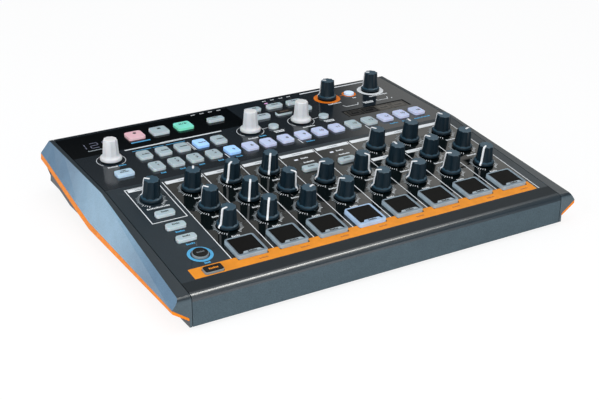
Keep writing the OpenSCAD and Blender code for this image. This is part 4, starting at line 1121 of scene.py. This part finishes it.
# %% Blue marks
BLUE_WORDS = [(-123.3, -116.9, -64.5), (-123.4, -117.1, -80.4), (-122.2, -118.0, -103.7),
              (-120.3, -114.8, 34.8),
              (-7.1, -1.5, 34.4), (-99.4, -95.2, 9.8), (-84.6, -80.0, 9.8), (-69.6, -65.0, 9.8),
              (-54.4, -49.8, 9.8), (-39.8, -34.6, 9.8), (19.0, 26.2, 9.6), (94.1, 101.6, 9.2),
              (105.6, 113.4, 9.2), (116.9, 131.7, 8.8)]
marks = Solids("blue_mark_print")
for x0, x1, s in BLUE_WORDS:
    word(marks, x0, x1, s)
bars(marks, [(-97.05, -81.75, 67.0, 1.5), (-102.4, -87.5, 52.7, 0.7), (-86.2, -77.7, 52.7, 0.7),
             (-75.7, -60.4, 52.7, 0.7)])
ring(marks, SHIFT, 6.3, 8.4)
marks.make([ink_blue], "print_blue")

# %% [markdown]
# ## Lamps, display and touch strip
# A lamp is a small clear lens in the sheet. The lens part holds all of them, so its finish finds each
# one by place: the two lit type lamps are white, the first of the rear row is magenta.

# %% Lamps
lens = Finish("lamp_lens", "23272a", roughness=0.25, emission_strength=1.0, coat_weight=0.5)
x, y, _ = lens.axes()
white_lamp = (y > y_at(-16)) * (y < 0)
magenta_lamp = (y > y_at(80)) * (x < 33.5)
glow_tone = lens.blend(magenta_lamp, lens.blend(white_lamp, (0, 0, 0, 1), colour("e8eefc")), colour("f2b4ee"))
lens.set("Emission Color", glow_tone)
lens.set("Base Color", lens.blend(lens.grain(0.5), colour("23272a"), colour("2b2f33")))
dress("led_lenses", lens)
dress("power_button", moulded("power_cap_plastic", "202327", 0.4), 0.3)

# %% [markdown]
# The display shows a plain tempo on the dark window. Each digit lights some of seven segments, named
# a to g from the top round to the middle, and a row of marks stands under them.

# %% Display
SEGMENTS = {"a": ((0, 2), (1, 2)), "b": ((1, 2), (1, 1)), "c": ((1, 1), (1, 0)), "d": ((0, 0), (1, 0)),
            "e": ((0, 1), (0, 0)), "f": ((0, 2), (0, 1)), "g": ((0, 1), (1, 1))}
DIGITS = {"0": "abcdef", "1": "bc", "2": "abged"}
DIGIT_W, DIGIT_HALF, DIGIT_PITCH, LEAN = 6.0, 4.3, 10.0, 0.08
SEGMENT_LINE, SEGMENT_GAP, WINDOW_TOP = 0.7, 0.35, 0.3
display = Solids("tempo_display")
for i, digit in enumerate("120"):
    for name in DIGITS[digit]:
        ends = [Vector((a * DIGIT_W + b * DIGIT_HALF * LEAN, b * DIGIT_HALF)) for a, b in SEGMENTS[name]]
        gap = (ends[1] - ends[0]).normalized() * SEGMENT_GAP
        stroke(display, [ends[0] + gap, ends[1] - gap], SEGMENT_LINE,
               seat(-135.9 + i * DIGIT_PITCH, 71.2), 0, WINDOW_TOP)
word(display, -130.4, -112.0, 67.2, 1, 1.5, WINDOW_TOP)
display.make([ink_violet, ink_grey], "window_black")

# %% [markdown]
# The touch strip lies in a shallow recess, with a dark line round its edge that is a painted shadow of
# the recess wall. It has four zones: two dark ones and two paler ones, each with a frame and a row of
# blocks.

# %% Touch strip zones
STRIP_LEFT, STRIP_RIGHT, STRIP_LOW, STRIP_HIGH = 74.0, 132.0, 34.2, 47.6
ZONE_X, ZONE_W, ZONE_L, ZONE_S = 76.0, 13.6, 9.6, 41.0
RECESS_SHADOW_IN, RECESS_SHADOW_LINE, RECESS_SHADOW_Z, TILE_Z, MARK_Z = 0.45, 0.8, -0.25, -0.3, -0.22
zones = Solids("touch_strip_zones")
left, right, low, high = (STRIP_LEFT + RECESS_SHADOW_IN, STRIP_RIGHT - RECESS_SHADOW_IN,
                          STRIP_LOW + RECESS_SHADOW_IN, STRIP_HIGH - RECESS_SHADOW_IN)
# A painted shadow of the recess wall runs round the strip's edge.
for line in ([(left, high), (right, high), (right, low)], [(right, low), (left, low), (left, high)]):
    stroke(zones, line, RECESS_SHADOW_LINE, REAR, 3, RECESS_SHADOW_Z)
for i in range(4):
    x = ZONE_X + ZONE_W * (i + 0.5)
    dark = i < 2
    at = seat(x, ZONE_S)
    fill(zones, rounded(ZONE_W - 0.6, ZONE_L, 0.8, 3), at, 0 if dark else 1, TILE_Z)
    mark = 3 if dark else 2
    stroke(zones, rounded(ZONE_W - 2.4, ZONE_L - 1.8, 0.6, 3), 0.6, at, mark, MARK_Z, closed=True)
    word(zones, x - 3.4, x + 3.4, ZONE_S, mark, 2.6, MARK_Z)
zones.make([strip_dark, strip_tile, ink_ash, strip_recess_shadow], "strip_grey")

# %% [markdown]
# The box of the dressed model is printed in millimetres.

# %% Size and finish
low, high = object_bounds()
print("visual box, mm:", [round((b - a) * 1000, 1) for a, b in zip(low, high)])
bpy.context.scene.view_settings.view_transform = "Standard"
